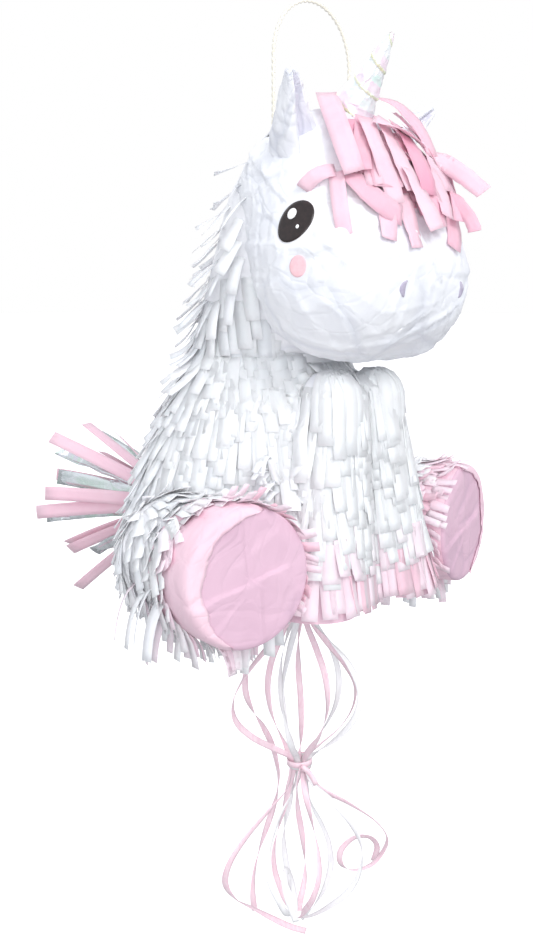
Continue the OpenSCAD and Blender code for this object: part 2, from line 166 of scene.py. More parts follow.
def tissue(name, dark, light, rough=0.85, sheen=0.25, scale=38, glow=0.16):
    """Thin crepe-like tissue: soft wrinkles, slight colour drift, a little sheen."""
    m, nt, b = tree(name, rough)
    v = coords(nt)
    n = noise_tex(nt, v, scale, 4, 0.6)
    mix = tuple((a + c) / 2 for a, c in zip(dark, light))
    nt.links.new(ramp(nt, n.outputs["Fac"], [(0.3, dark), (0.5, mix), (0.72, light)]), b.inputs["Base Color"])
    b.inputs["Sheen Weight"].default_value = sheen
    b.inputs["Sheen Roughness"].default_value = 0.5
    b.inputs["Subsurface Weight"].default_value = glow
    b.inputs["Subsurface Radius"].default_value = (0.004, 0.003, 0.003)
    b.inputs["Subsurface Scale"].default_value = 1.0
    f = noise_tex(nt, v, 420, 4, 0.65)
    w = noise_tex(nt, coords(nt, (1, 1, 0.22)), 260, 3, 0.6, 0.4)
    bump(nt, b, [(f.outputs["Fac"], 0.5), (w.outputs["Fac"], 0.9)], 0.35, 0.0005)
    return m


def wrap(name, dark, light, rough=0.5, creases=0.5, scale=22, line=0.35):
    """Smooth wrapped paper with folds and overlapping edges, with painted shade: a little darker and bluer
    along the folds.
    """
    m, nt, b = tree(name, rough)
    v = coords(nt)
    n = noise_tex(nt, v, 14, 4, 0.6)
    b.inputs["Sheen Weight"].default_value = 0.1
    w = noise_tex(nt, v, 7, 3, 0.5, 0.0)
    warp = add(nt, "ShaderNodeMixRGB", blend_type="ADD")
    warp.inputs["Fac"].default_value = 0.12
    nt.links.new(v, warp.inputs["Color1"])
    nt.links.new(w.outputs["Color"], warp.inputs["Color2"])
    c1 = crumple(nt, warp.outputs["Color"], scale)
    c2 = crumple(nt, warp.outputs["Color"], scale * 2.7)
    f = noise_tex(nt, v, 120, 5, 0.6)
    bump(nt, b, [(c1, 0.8), (c2, 0.3), (f.outputs["Fac"], 0.35)], creases, 0.0009)
    patchy = noise_tex(nt, v, 9, 2, 0.5)
    # painted shade: near the fold lines the colour is pulled towards a darker, bluer copy of the paper,
    # except where the patchy noise is high
    crease_shade = add(nt, "ShaderNodeMapRange")
    crease_shade.inputs["To Min"].default_value = 1.0 - line
    nt.links.new(c1, crease_shade.inputs["Value"])
    some = add(nt, "ShaderNodeMapRange")
    some.inputs["From Min"].default_value = 0.42
    some.inputs["From Max"].default_value = 0.58
    nt.links.new(patchy.outputs["Fac"], some.inputs["Value"])
    keep = add(nt, "ShaderNodeMath", operation="MAXIMUM")
    nt.links.new(crease_shade.outputs["Result"], keep.inputs[0])
    nt.links.new(some.outputs["Result"], keep.inputs[1])
    # the painted shade colour: the dark paper tone dimmed and cooled
    crease_shaded_colour = add(nt, "ShaderNodeMixRGB", blend_type="MIX")
    crease_shaded_colour.inputs["Color1"].default_value = (dark[0] * 0.72, dark[1] * 0.74, dark[2] * 0.80, 1)
    nt.links.new(keep.outputs[0], crease_shaded_colour.inputs["Fac"])
    nt.links.new(ramp(nt, n.outputs["Fac"], [(0.35, dark), (0.65, light)]), crease_shaded_colour.inputs["Color2"])
    nt.links.new(crease_shaded_colour.outputs["Color"], b.inputs["Base Color"])
    return m


WHITE = tissue("tissue_white", (0.95, 0.955, 0.97), (0.985, 0.985, 0.99), glow=0.25)
# painted shade: a darker, cooler copy of the white tissue, given to strips at the back and under the hind
# legs, and now and then at random
WHITE_SHADE = tissue("tissue_white_painted_shade", (0.89, 0.90, 0.935), (0.965, 0.97, 0.98), glow=0.25)
PINK_LIGHT = tissue("tissue_pink_light", (0.88, 0.545, 0.65), (0.92, 0.63, 0.715))
PINK = tissue("tissue_pink", (0.84, 0.45, 0.56), (0.88, 0.545, 0.64))
PINK_DEEP = tissue("tissue_pink_deep", (0.76, 0.33, 0.45), (0.82, 0.42, 0.53))
PINK_PALE = tissue("tissue_pink_pale", (0.92, 0.69, 0.78), (0.96, 0.80, 0.87))
# painted shade: the head paper is a greyer, bluer white than the white tissue, so that it renders darker
# under the key light
SKIN = wrap("head_wrap", (0.83, 0.845, 0.885), (0.90, 0.91, 0.93), 0.5, 0.75, 17, 0.3)
EAR_WRAP = wrap("ear_wrap", (0.82, 0.83, 0.88), (0.91, 0.92, 0.945), 0.5, 0.8, 38, 0.45)
EAR_IN = wrap("ear_lining", (0.68, 0.675, 0.77), (0.82, 0.815, 0.88), 0.6, 0.7, 50, 0.4)
SOLE = wrap("sole_lilac", (0.665, 0.44, 0.55), (0.735, 0.50, 0.61), 0.7, 0.6, 20, 0.3)
CARD = wrap("wrapped_card", (0.90, 0.905, 0.93), (0.96, 0.96, 0.975), 0.6, 0.3, 22)
TAPE = wrap("paper_tape", (0.90, 0.84, 0.87), (0.95, 0.91, 0.93), 0.55, 0.3, 70)


def foil(name, stops, scale, rough=0.22, metal=0.75):
    m, nt, b = tree(name, rough, metal)
    v = coords(nt, (1, 1, 1.4))
    n = noise_tex(nt, v, scale, 3, 0.55, 1.2)
    nt.links.new(ramp(nt, n.outputs["Fac"], stops), b.inputs["Base Color"])
    b.inputs["Coat Weight"].default_value = 0.4
    b.inputs["Coat Roughness"].default_value = 0.15
    f = noise_tex(nt, v, 90, 4, 0.6, 0.5)
    c = crumple(nt, v, 70)
    bump(nt, b, [(f.outputs["Fac"], 0.6), (c, 0.5)], 0.4, 0.0006)
    return m


FOIL_TAIL = foil("tail_foil", [(0.30, (0.60, 0.66, 0.66)), (0.45, (0.80, 0.84, 0.86)),
                               (0.55, (0.62, 0.76, 0.68)),
                               (0.70, (0.74, 0.66, 0.80))], 30, 0.2, 0.85)


def grained(name, rough, stops, grain, strength, depth, stretch=(1, 1, 1), sheen=0.0):
    """Print, ribbon, string or wood: one noise gives both the colour drift and the fine relief."""
    m, nt, b = tree(name, rough)
    n = noise_tex(nt, coords(nt, stretch), *grain)
    nt.links.new(ramp(nt, n.outputs["Fac"], stops), b.inputs["Base Color"])
    b.inputs["Sheen Weight"].default_value = sheen
    bump(nt, b, [(n.outputs["Fac"], 1.0)], strength, depth)
    return m


def sticker(name, dark, light, rough=0.3):
    return grained(name, rough, [(0.3, dark), (0.7, light)], (300, 3, 0.5), 0.08, 0.0002)


INK = sticker("eye_ink", (0.012, 0.007, 0.007), (0.028, 0.016, 0.015), 0.28)
SPOT = sticker("eye_spot", (0.93, 0.93, 0.94), (0.98, 0.98, 0.98), 0.4)
RIM = sticker("eye_rim", (0.82, 0.80, 0.82), (0.90, 0.89, 0.90), 0.4)
BLUSH = sticker("cheek_pink", (0.93, 0.55, 0.60), (0.96, 0.63, 0.67), 0.5)
MAUVE = sticker("nostril_mauve", (0.42, 0.38, 0.50), (0.55, 0.51, 0.62), 0.5)


def ribbon_mat(name, dark, light):
    return grained(name, 0.32, [(0.35, dark), (0.65, light)], (500, 2, 0.5), 0.25, 0.0002, (1, 1, 0.15), 0.15)


RIB_PINK = ribbon_mat("ribbon_pink", (0.93, 0.66, 0.745), (0.965, 0.76, 0.82))
RIB_WHITE = ribbon_mat("ribbon_white", (0.88, 0.87, 0.88), (0.95, 0.945, 0.95))
STRING = grained("string_twist", 0.8, [(0.3, (0.82, 0.78, 0.66)), (0.7, (0.93, 0.90, 0.80))],
                 (900, 3, 0.6), 0.5, 0.0004, sheen=0.3)
WOOD = grained("dowel_wood", 0.55, [(0.3, (0.55, 0.38, 0.22)), (0.5, (0.70, 0.52, 0.33)),
                                    (0.7, (0.78, 0.61, 0.42))], (700, 5, 0.6, 0.4), 0.3, 0.0003, (0.08, 1, 1))


def board_mat():
    m, nt, b = tree("raw_cardboard", 0.85)
    v = coords(nt)
    n = noise_tex(nt, v, 60, 6, 0.7)
    f = noise_tex(nt, coords(nt, (1, 6, 1)), 500, 3, 0.6)
    nt.links.new(ramp(nt, n.outputs["Fac"], [(0.3, (0.46, 0.31, 0.19)), (0.55, (0.56, 0.40, 0.26)),
                                             (0.75, (0.64, 0.48, 0.33))]),
                 b.inputs["Base Color"])
    wv = add(nt, "ShaderNodeTexWave", wave_type="BANDS", bands_direction="Y", Scale=70.0, Distortion=0.4)
    nt.links.new(v, wv.inputs["Vector"])
    bump(nt, b, [(wv.outputs["Fac"], 0.35), (f.outputs["Fac"], 0.5)], 0.35, 0.0004)
    return m


BOARD = board_mat()

# ---------------------------------------- mesh helpers
UP, DOWN = Vector((0, 0, 1)), Vector((0, 0, -1))
TISSUE_THICK = 0.22 * mm      # a strip of tissue, thick enough to render as a sheet with two sides


def around(phi):
    """The level direction at an angle round the upright axis, measured from +Y towards +X."""
    return Vector((math.sin(phi), math.cos(phi), 0))


def height(p):
    """How far a point lies above the CAD's base, in millimetres."""
    return (p.z - BASE) / mm


def new_object(name, verts, faces, mats, index=None, closed=False):
    me = bpy.data.meshes.new(name)
    me.from_pydata([tuple(v) for v in verts], [], faces)
    if closed:
        bm = bmesh.new()
        bm.from_mesh(me)
        bmesh.ops.recalc_face_normals(bm, faces=bm.faces)
        bm.to_mesh(me)
        bm.free()
    for m in mats:
        me.materials.append(m)
    if index is not None:
        me.polygons.foreach_set("material_index", index)
    me.polygons.foreach_set("use_smooth", [True] * len(me.polygons))
    me.update()
    o = bpy.data.objects.new(name, me)
    bpy.context.scene.collection.objects.link(o)
    return o


def attach(o, body, slot, *replaced):
    """Hang a piece on its body and hide the CAD nodes it is shown instead of; the slot is not used."""
    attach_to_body(o, body)
    if replaced:
        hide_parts(*replaced)
    return o


def tube_faces(levels, seg):
    """Faces of a closed tube: its walls level by level, then both ends."""
    fs = [(i * seg + k, i * seg + (k + 1) % seg, (i + 1) * seg + (k + 1) % seg, (i + 1) * seg + k)
          for i in range(levels) for k in range(seg)]
    return fs + [tuple(reversed(range(seg))), tuple(levels * seg + k for k in range(seg))]


def outer_bvh(names, keep, keep_leg=None):
    """BVH of those faces of the CAD nodes that keep(centre, normal) says are on the outside."""
    vs, fs = [], []
    for n in names:
        me = nodes[n].data
        me.calc_loop_triangles()
        off = len(vs)
        vs += [v.co.copy() for v in me.vertices]
        for t in me.loop_triangles:
            c = (me.vertices[t.vertices[0]].co + me.vertices[t.vertices[1]].co
                 + me.vertices[t.vertices[2]].co) / 3
            if (keep_leg if keep_leg and n.startswith("front_leg") else keep)(c, t.normal):
                fs.append([off + i for i in t.vertices])
    return BVHTree.FromPolygons(vs, fs, epsilon=0.0)


class Strips:
    """Collects thin closed strips of paper into one mesh."""

    def __init__(self):
        self.v, self.f, self.m = [], [], []

    def add(self, pts, sides, width, thick, mat, cup=0.0, across=2, end=1.0):
        k = len(pts)
        off = len(self.v)
        ring = 2 * across
        for i in range(k):
            t = (pts[min(i + 1, k - 1)] - pts[max(i - 1, 0)]).normalized()
            s = sides[i] - t * sides[i].dot(t)
            s.normalize()
            n = s.cross(t)
            w = width * (1 - (1 - end) * (i / (k - 1)) ** 2)
            row = []
            for j in range(across):
                x = (j / (across - 1) - 0.5) * 2
                row.append(pts[i] + s * (x * w / 2) + n * (cup * (1 - x * x)))
            self.v += [p + n * thick / 2 for p in row]
            self.v += [p - n * thick / 2 for p in reversed(row)]
        for i in range(k - 1):
            for j in range(ring):
                a, b = off + i * ring + j, off + i * ring + (j + 1) % ring
                self.f.append((a, b, b + ring, a + ring))
                self.m.append(mat)
        self.f.append(tuple(off + j for j in reversed(range(ring))))
        self.f.append(tuple(off + (k - 1) * ring + j for j in range(ring)))
        self.m += [mat, mat]

    def build(self, name, mats, body, slot, *replaced):
        return attach(new_object(name, self.v, self.f, mats, self.m), body, slot, *replaced)


def flow(bvh, p, n, d, length, steps, lift0, lift1, gravity=0.3, hug=0.0, curl=0.0, twist=0.0):
    """A strip's centre line over a surface: it starts at p along d, falls, and stays outside the surface."""
    pts = [p + n * lift0]
    nr = n.copy()
    sides = [n.cross(d).normalized()]
    for k in range(1, steps + 1):
        t = k / steps
        q = pts[-1] + d * (length / steps)
        near = bvh.find_nearest(q, 0.06)
        h = lift0 + (lift1 - lift0) * t ** 1.6
        if near[0] is not None:
            loc, nrm = near[0], near[1]
            sd = (q - loc).dot(nrm)
            if sd < h:
                q = q + nrm * (h - sd)
            elif hug:
                q = q - nrm * ((sd - h) * hug)
            nr = nr.lerp(nrm, 0.6).normalized()
        nd = (q - pts[-1]).normalized()
        pts.append(q)
        d = (nd + DOWN * gravity + nr * curl * t).normalized()
        s = nr.cross(d)
        s = s.normalized() if s.length > 1e-4 else sides[-1]
        sides.append(Matrix.Rotation(twist * t, 3, d) @ s)
    return pts, sides


# ---------------------------------------- ribbons: the CAD's routes, in millimetres
route_a = [(4, 0, -3), (4.4, 0, -12), (11, 1, -25), (27, 3, -40), (46, 5, -57), (58, 4, -77), (55, 0, -96),
           (40, -2, -113), (21, -2, -126), (8.5, 0, -134), (5.6, 0, -140), (6, 0, -149), (13, 2, -160),
           (31, 5, -173), (50, 6, -189), (62, 3, -208), (62, -4, -228), (51, -9, -246), (34, -11, -260),
           (19, -8, -271), (6, -3, -279), (-6, 1, -284)]
route_b = [(4, 0, -3), (4.4, 0, -13), (9, -1, -27), (20, -3, -44), (33, -4, -62), (42, -2, -81),
           (41, 1, -100), (31, 2, -116), (17, 1, -127), (8, 0, -134), (5.6, 0, -140), (6, 0, -150),
           (15, -3, -162), (36, -8, -174), (57, -10, -190), (68, -5, -207), (68, 3, -223), (60, 8, -237),
           (46, 9, -241), (35, 6, -233), (34, 3, -219), (44, 2, -209), (57, 4, -211), (65, 10, -223),
           (64, 16, -239)]
route_c = [(4, 0, -3), (4.4, 0, -12), (12, 0, -26), (31, 2, -42), (50, 3, -60), (59, 1, -80), (53, -3, -100),
           (37, -4, -115), (19, -2, -127), (8.5, 0, -134), (5.6, 0, -140), (6, 0, -151), (11, 1, -166),
           (21, 3, -184), (36, 3, -203), (45, 0, -222), (42, -5, -240), (29, -7, -255), (14, -5, -266),
           (3, 0, -274)]
route_r = [(0, 24, -4), (0, 24, -16), (-4, 25, -32), (-12, 26, -50), (-19, 27, -68), (-20, 27, -87),
           (-13, 26, -105), (-2, 25, -121), (8, 25, -138), (16, 27, -156), (22, 30, -174), (22, 33, -193),
           (14, 34, -211), (3, 33, -228), (-6, 31, -245), (-9, 30, -262), (-7, 30, -279)]
RIBBON_Y, TIE_Z = -12.0, 140.0


def swing(route, a, k, v):
    """A route turned by a degrees round the bundle, with its bows scaled by k and its lower part by v."""
    a = math.radians(a)
    out = []
    for r, w, z in route:
        r = r if r < 8 else 8 + (r - 8) * k
        w = w * k
        z = z if z > -TIE_Z else -TIE_Z + (z + TIE_Z) * v
        out.append((r * math.cos(a) - w * math.sin(a), RIBBON_Y + r * math.sin(a) + w * math.cos(a), z))
    return out


def spline(points, per):
    p = [P(*q) for q in points]
    out = []
    for i in range(len(p) - 1):
        a, b, c, d = p[max(i - 1, 0)], p[i], p[i + 1], p[min(i + 2, len(p) - 1)]
        for k in range(per):
            t = k / per
            out.append(0.5 * (2 * b + (c - a) * t + (2 * a - 5 * b + 4 * c - d) * t * t
                              + (3 * b - a - 3 * c + d) * t ** 3))
    return out + [p[-1]]


def ribbon(name, route, node, body, mat, seed, width=5.0, turns=1.6):
    pts = spline(route, 6)
    rng = random.Random(seed)
    phase = rng.uniform(0, math.tau)
    side = Vector((math.cos(phase), math.sin(phase), 0))
    sides, n = [], len(pts)
    for i in range(n):
        t = (pts[min(i + 1, n - 1)] - pts[max(i - 1, 0)]).normalized()
        side = (side - t * side.dot(t)).normalized()
        turn = math.tau * turns / n * (0.4 + 1.2 * abs(math.sin(3.1 * i / n * math.pi + phase)))
        side = Matrix.Rotation(turn, 3, t) @ side
        sides.append(side.copy())
    s = Strips()
    s.add(pts, sides, width * mm, 0.25 * mm, 0, cup=0.35 * mm, across=4)
    o = s.build(name, [mat], body, "ribbon_pink" if mat is RIB_PINK else "ribbon_white", node)


# each ribbon: its route, the angle it is turned by, how far it swings out, how long its lower part is
decoys = [(route_a, 161, 1.02, 1), (route_b, 205, 0.92, 1), (route_c, 246, 0.75, 0.96),
          (route_a, 288, 0.8, 0.92), (route_b, 324, 1.04, 1), (route_c, 0, 0.78, 1),
          (route_a, 40, 0.42, 0.85), (route_c, 82, 0.3, 0.9), (route_c, 122, 0.34, 0.95)]
for i, (r, a, k, v) in enumerate(decoys):
    ribbon("pull_ribbon_%d" % (i + 1), swing(r, a, k, v), "decoy_ribbon_%d" % (i + 1), "decoy_ribbons",
           RIB_WHITE if i % 2 else RIB_PINK, 11 + i, turns=1.2 + 0.35 * (i % 4))
ribbon("release_pull_ribbon", route_r, "release_ribbon", "release_ribbon", RIB_PINK, 5, turns=2.0)

# ---------------------------------------- head: smooth creased copy of the CAD shape
hl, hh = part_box("head_shell")
head_c = (hl + hh) / 2 + Vector((0, 0.004, 0.004))


def head_creases():
    """Overlapping paper edges: planes that cut the head, each with a window, width and height."""
    rng = random.Random(21)
    out = []
    for k in range(44):
        d = Vector((rng.gauss(0, 1), rng.gauss(0, 1), rng.gauss(-0.5 if k % 2 else 0, 1))).normalized()
        c = Vector((rng.gauss(0, 1), rng.gauss(0, 1), rng.gauss(0, 1))).normalized()
        m = d.cross(c).normalized()
        out.append((d, m, rng.uniform(0.25, 0.6), rng.uniform(0.5, 1.25), rng.uniform(0.0, 6.0)))
    return out


CREASES = head_creases()


def crease_height(u):
    """Height in millimetres at the direction u from the head's centre."""
    h = 0.0
    for i, (d, m, span, amp, ph) in enumerate(CREASES):
        along = u.dot(d)
        if along < 1 - span:
            continue
        x = u.dot(m) + 0.03 * noise.noise(u * 3.0 + Vector((ph, i, 0)))
        win = smoothstep(1 - span, 1 - span * 0.6, along)
        step = smoothstep(-0.008, 0.012, x) * math.exp(-max(0, x) / 0.16)
        h += amp * (1.5 if u.z < -0.05 else 1.1) * win * step
    r = 1 - abs(noise.noise(u * 4.0 + Vector((3.1, 7.7, 1.3)))) * 2
    h += 0.9 * max(0, r) ** 6
    r = 1 - abs(noise.noise(Vector((u.x * 3, u.y * 9, u.z * 6)) + Vector((9.1, 2.7, 5.3)))) * 2
    h += 0.7 * max(0, r) ** 8
    return h


SLOT_X, SLOT_Y, CROWN_R = 41, -21, 68         # the CAD's string slots and crown ball, in millimetres


def over_slot(p, dx, dy, z):
    """Whether a point lies over one of the two string slots, above a height."""
    return abs(abs(p.x) / mm - SLOT_X) < dx and abs(p.y / mm - SLOT_Y) < dy and p.z > P(0, 0, z).z


def make_head():
    keep = outer_bvh(["head_shell"], lambda c, n: (c - head_c).dot(n) > 0)
    bm = bmesh.new()
    bmesh.ops.create_icosphere(bm, subdivisions=7, radius=1.0)
    dirs = [v.co.normalized() for v in bm.verts]
    crown = P(0, -38, 277)
    off = head_c - crown
    for v, u in zip(bm.verts, dirs):
        hit = keep.ray_cast(head_c + u * 0.3, -u)
        v.co = hit[0] if hit[0] is not None else head_c + u * 0.07
        b = off.dot(u)
        over = head_c + u * (math.sqrt(b * b - off.length_squared + (CROWN_R * mm) ** 2) - b)
        if over_slot(over, 7, 15, 300):
            v.co = over                              # the crown runs smoothly across the string slots
    for _ in range(14):
        bmesh.ops.smooth_vert(bm, verts=bm.verts, factor=0.5, use_axis_x=True, use_axis_y=True,
                              use_axis_z=True)
    base = BVHTree.FromBMesh(bm)
    calm = [(sum(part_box(k + side), Vector()) / 2, r * mm)        # no creases under the stickers
            for side in ("right", "left") for k, r in (("eye_", 14), ("cheek_", 7))]
    for v, u in zip(bm.verts, dirs):
        flat = min(smoothstep(r, r + 7 * mm, (v.co - c).length) for c, r in calm)
        v.co += u * ((crease_height(u) * (0.06 + 0.94 * flat) + 0.1) * mm)
    skin = BVHTree.FromBMesh(bm)
    mids = [(f, f.calc_center_median()) for f in bm.faces]
    bmesh.ops.delete(bm, geom=[f for f, c in mids if over_slot(c, 2.9, 12, 290)], context="FACES")
    rough = bpy.data.meshes.new("head_rough")
    bm.to_mesh(rough)
    draft = bpy.data.objects.new("head_draft", rough)
    bpy.context.scene.collection.objects.link(draft)
    thin = draft.modifiers.new("fewer", "DECIMATE")
    thin.ratio = 0.42
    wall = draft.modifiers.new("card", "SOLIDIFY")
    wall.thickness, wall.offset = 1.2 * mm, -1.0
    me = bpy.data.meshes.new_from_object(draft.evaluated_get(bpy.context.evaluated_depsgraph_get()))
    me.name = "head_wrap"
    bpy.data.objects.remove(draft)
    bpy.data.meshes.remove(rough)
    me.materials.append(SKIN)
    me.polygons.foreach_set("use_smooth", [True] * len(me.polygons))
    bm.free()
    o = bpy.data.objects.new("head_wrap", me)
    bpy.context.scene.collection.objects.link(o)
    attach(o, "pinata", "head_card", "head_shell")
    return base, skin


HEAD, HEAD_SKIN = make_head()


def patch(name, centre, outline, lift, thick, mat, replaced, slot, rings=7):
    """A thin printed sticker laid on the head: outline(angle) gives its radius in millimetres."""
    loc, n = HEAD.find_nearest(centre)[:2]
    up = (UP - n * UP.dot(n)).normalized()
    side = up.cross(n)
    vs, fs = [], []
    seg = 48

    def put(x, y, h):
        q = loc + side * x * mm + up * y * mm
        hit = HEAD_SKIN.ray_cast(q + n * 0.03, -n)
        base = hit[0] if hit[0] is not None else q
        return base + n * h * mm

    for layer, h in ((0, lift + thick), (1, lift - 0.6)):
        vs.append(put(0.031, 0.017, h))
        for r in range(1, rings + 1):
            for s in range(seg):
                a = math.tau * s / seg
                x, y = outline(a)
                f = r / rings
                drop = 0.12 if (layer == 0 and r == rings) else 0
                vs.append(put(x * f, y * f, h - drop))
    per = 1 + rings * seg
    for layer in (0, 1):
        o0 = layer * per
        for s in range(seg):
            t = (s + 1) % seg
            f = (o0, o0 + 1 + s, o0 + 1 + t)
            fs.append(f if layer == 0 else f[::-1])
            for r in range(1, rings):
                a, b = o0 + 1 + (r - 1) * seg, o0 + 1 + r * seg
                f = (a + s, b + s, b + t, a + t)
                fs.append(f if layer == 0 else f[::-1])
    e = 1 + (rings - 1) * seg
    for s in range(seg):
        t = (s + 1) % seg
        fs.append((e + s, per + e + s, per + e + t, e + t))
    attach(new_object(name, vs, fs, [mat], closed=True), "pinata", slot, *replaced)


def oval(rx, ry, tilt=0.0):
    def f(a):
        x, y = rx * math.cos(a), ry * math.sin(a)
        return x * math.cos(tilt) - y * math.sin(tilt), x * math.sin(tilt) + y * math.cos(tilt)
    return f


def middle(node):
    lo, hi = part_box(node)
    return (lo + hi) / 2


SIDES = (("right", -1), ("left", 1))
for side, s in SIDES:
    fwd = Vector((-s * 0.677, -0.736, 0))         # along the cheek, towards the muzzle
    e = middle("eye_" + side) - fwd * 1.5 * mm - Vector((0, 0, 0.8 * mm))
    g = middle("eye_shine_" + side) + fwd * 2.3 * mm
    g2 = e + fwd * 3.4 * mm - Vector((0, 0, 5.0 * mm))
    c = middle("cheek_" + side) + fwd * 2.0 * mm

    def crescent(a, s=s):
        x, y = 2.6 * math.cos(a), 5.6 * math.sin(a)
        return x - s * 0.07 * (y * y - 12), y

    patch("eye_rim_" + side, e, oval(12.7, 15.9, s * 0.50), 0.10, 0.15, RIM, [], "sticker_white")
    patch("eye_print_" + side, e, oval(12.0, 15.1, s * 0.50), 0.30, 0.25, INK, ["eye_" + side],
          "sticker_dark")
    patch("eye_spot_" + side, g, oval(3.3, 3.8, s * 0.3), 0.62, 0.2, SPOT, ["eye_shine_" + side],
          "sticker_white", 4)
    patch("eye_glint_" + side, g2, oval(1.2, 1.4), 0.62, 0.2, SPOT, [], "sticker_white", 3)
    patch("cheek_dot_" + side, c, oval(6.4, 7.0), 0.12, 0.2, BLUSH, ["cheek_" + side], "sticker_pink")
    patch("nostril_mark_" + side, middle("nostril_" + side), crescent, 0.1, 0.2, MAUVE, ["nostril_" + side],
          "sticker_mauve", 4)

# ---------------------------------------- outer surfaces that paper strips lie on
def outside(lean, top):
    """A test for outer faces: those that look away from an axis that leans forward towards the head."""
    def test(c, n):
        h = height(c)
        return (c - P(0, 22 - lean * smoothstep(178, top, h), h)).dot(n) > 0
    return test


CASE = ["body_shell", "chest_panel", "fill_flap", "neck_shell"]
TORSO = outer_bvh(CASE, outside(46, 264))
HIDE = outer_bvh(CASE + ["head_shell"], outside(60, 277))


def tangent_down(n, rng, wander):
    d = DOWN - n * DOWN.dot(n)
    d = d.normalized() if d.length > 0.05 else Vector((n.x, n.y, -0.2)).normalized()
    s = n.cross(d).normalized()
    return (d + s * rng.uniform(-wander, wander)).normalized()


def outside_leg(c, n):
    h = height(c)
    cx, cy, r = front_axis(-1 if c.x < 0 else 1, h)
    return Vector((c.x - cx * mm, c.y - cy * mm, max(0.0, h - 150) * mm)).dot(n) > 0


# ---------------------------------------- tissue fringe of body and neck
fringe, flap = Strips(), Strips()
rng = random.Random(2024)
foot_c = {s: P(s * 124, -74, 40) for s in (-1, 1)}
leg_axis = {s: Vector((-s * math.sin(math.radians(13)), math.cos(math.radians(13)), 0)) for s in (-1, 1)}


def near_leg(p, grow):
    """Whether a point lies inside a hind leg, grown by so many millimetres."""
    for s in (-1, 1):
        a = leg_axis[s]
        t = max(0.0, min(80 * mm, (p - foot_c[s]).dot(a)))
        if (p - foot_c[s] - a * t).length < (44 + grow) * mm:
            return True
    return False


def front_axis(s, h):
    """Centre and radius of a front leg at a height."""
    t = max(0.0, min(1.0, h / 150))
    return s * (46 - 21.1 * t), -66 + 6.5 * t, 27.5 - 8 * t


def in_front_leg(p, grow):
    h = height(p)
    if h > 169 + grow:
        return False
    for s in (-1, 1):
        cx, cy, r = front_axis(s, h)
        if math.hypot(p.x / mm - cx, p.y / mm - cy) < r + grow:
            return True
    return False


ALL = outer_bvh(CASE + ["front_leg_right", "front_leg_left"], outside(46, 264), outside_leg)
rows = [24, 40, 56, 72, 88, 104, 120, 136, 151, 165, 178, 191, 204, 217, 230, 243, 256, 269, 282, 295, 306]
for ri, h in enumerate(rows):
    ax_y = 22 - 60 * smoothstep(178, 277, h)
    spacing = 7.6 if h < 180 else 7.0
    n_strips = int(math.tau * (110 if h < 60 else 110 - (h - 60) * 0.42) / spacing)
    for k in range(n_strips):
        phi = math.tau * (k + 0.5 * (ri % 2) + rng.uniform(-0.2, 0.2)) / n_strips
        u = around(phi)
        zz = h + rng.uniform(-3, 3)
        o = P(0, ax_y, zz)
        hit = HIDE.ray_cast(o + u * 0.2, -u)
        if hit[0] is None:
            continue
        p, n = hit[0], hit[1]
        back = smoothstep(-0.35, 0.55, u.y)              # 0 at the chest, 1 at the back
        on_head_now = HEAD.find_nearest(p)[3] < 0.0025
        if on_head_now and (p.y < P(0, -22 - 0.25 * (h - 230), 0).y or h > 306):
            continue
        if not on_head_now and h > 190 and HEAD.find_nearest(p)[3] < 0.004 and p.y < P(0, -40, 0).y:
            continue
        if near_leg(p, -1) or in_front_leg(p, -3):
            continue
        length = rng.uniform(30, 42) if h < 180 else rng.uniform(20, 30)
        if h >= 180:
            length += (1 - back) * 8
        lift = (1.3 + 1.2 * rng.random()) * (1 - back) + (2.2 + 5.0 * rng.random()) * back
        if h > 176:
            lift += 11.0 * back * rng.random()
        wild = rng.random() < 0.16 * (0.25 + back)
        if wild:
            lift += rng.uniform(3, 7)
        width = rng.uniform(7.0, 11.0) * (1.3 - 0.38 * back)
        target = fringe
        hx, hz = abs(p.x) / mm, height(p)
        behind = p.y > P(0, 60, 0).y
        if behind and hx < 30 and 112 <= hz <= 164:
            target = flap
            if hx > 24.5:
                width = min(width, 2 * (29.6 - hx))
                if width < 2:
                    continue
            lift = min(lift, 6.0) if hz < 150 else 2.2
        elif behind and hx < 36 and 164 < hz < 205:
            length = min(length, hz - 167.6)
            lift = min(lift, 2.0)
            if length < 7:
                continue
        elif behind and hx < 34 and 108 < hz < 168:
            if hx < 30.5 + width / 2:
                width = 2 * (hx - 30.5)
            if width < 2.5:
                continue
            lift = min(lift, 3.0)
        if h == rows[0]:
            length = rng.uniform(24, 33)
        if p.z - length * mm < BASE - 9 * mm:
            length = height(p) + 9
        d = tangent_down(n, rng, 0.08 + 0.24 * back)
        if h > 200 and back > 0.3 and target is fringe:
            d = (d + n * back * rng.uniform(0.1, 1.1)).normalized()
        over = HIDE
        if h < 182 and p.y < P(0, -20, 0).y:
            between = h < 140 and abs(p.x) / mm < front_axis(1, h)[0]
            if between and abs(p.x) / mm > front_axis(1, h)[0] - front_axis(1, h)[2] - 3:
                continue
            over = HIDE if between else ALL
            length = min(length, 30) if between else length
        pts, sides = flow(over, p, n, d, length * mm, 5, 0.5 * mm, lift * mm,
                          gravity=0.10 - 0.05 * back, hug=0.35 * (1 - back),
                          curl=(0.02 + 0.16 * back) * rng.uniform(-0.4, 1.0),
                          twist=rng.uniform(-0.5, 0.5) * (0.2 + back))
        # painted shade: a tenth of the strips take the shade white (material 1) at random, and more of them
        # do towards the back, away from the key light
        mat = 1 if rng.random() < 0.10 + 0.3 * back else 0
        target.add(pts, sides, width * mm, TISSUE_THICK, mat, cup=rng.uniform(-0.3, 0.6) * mm,
                   end=rng.uniform(0.75, 1.0))

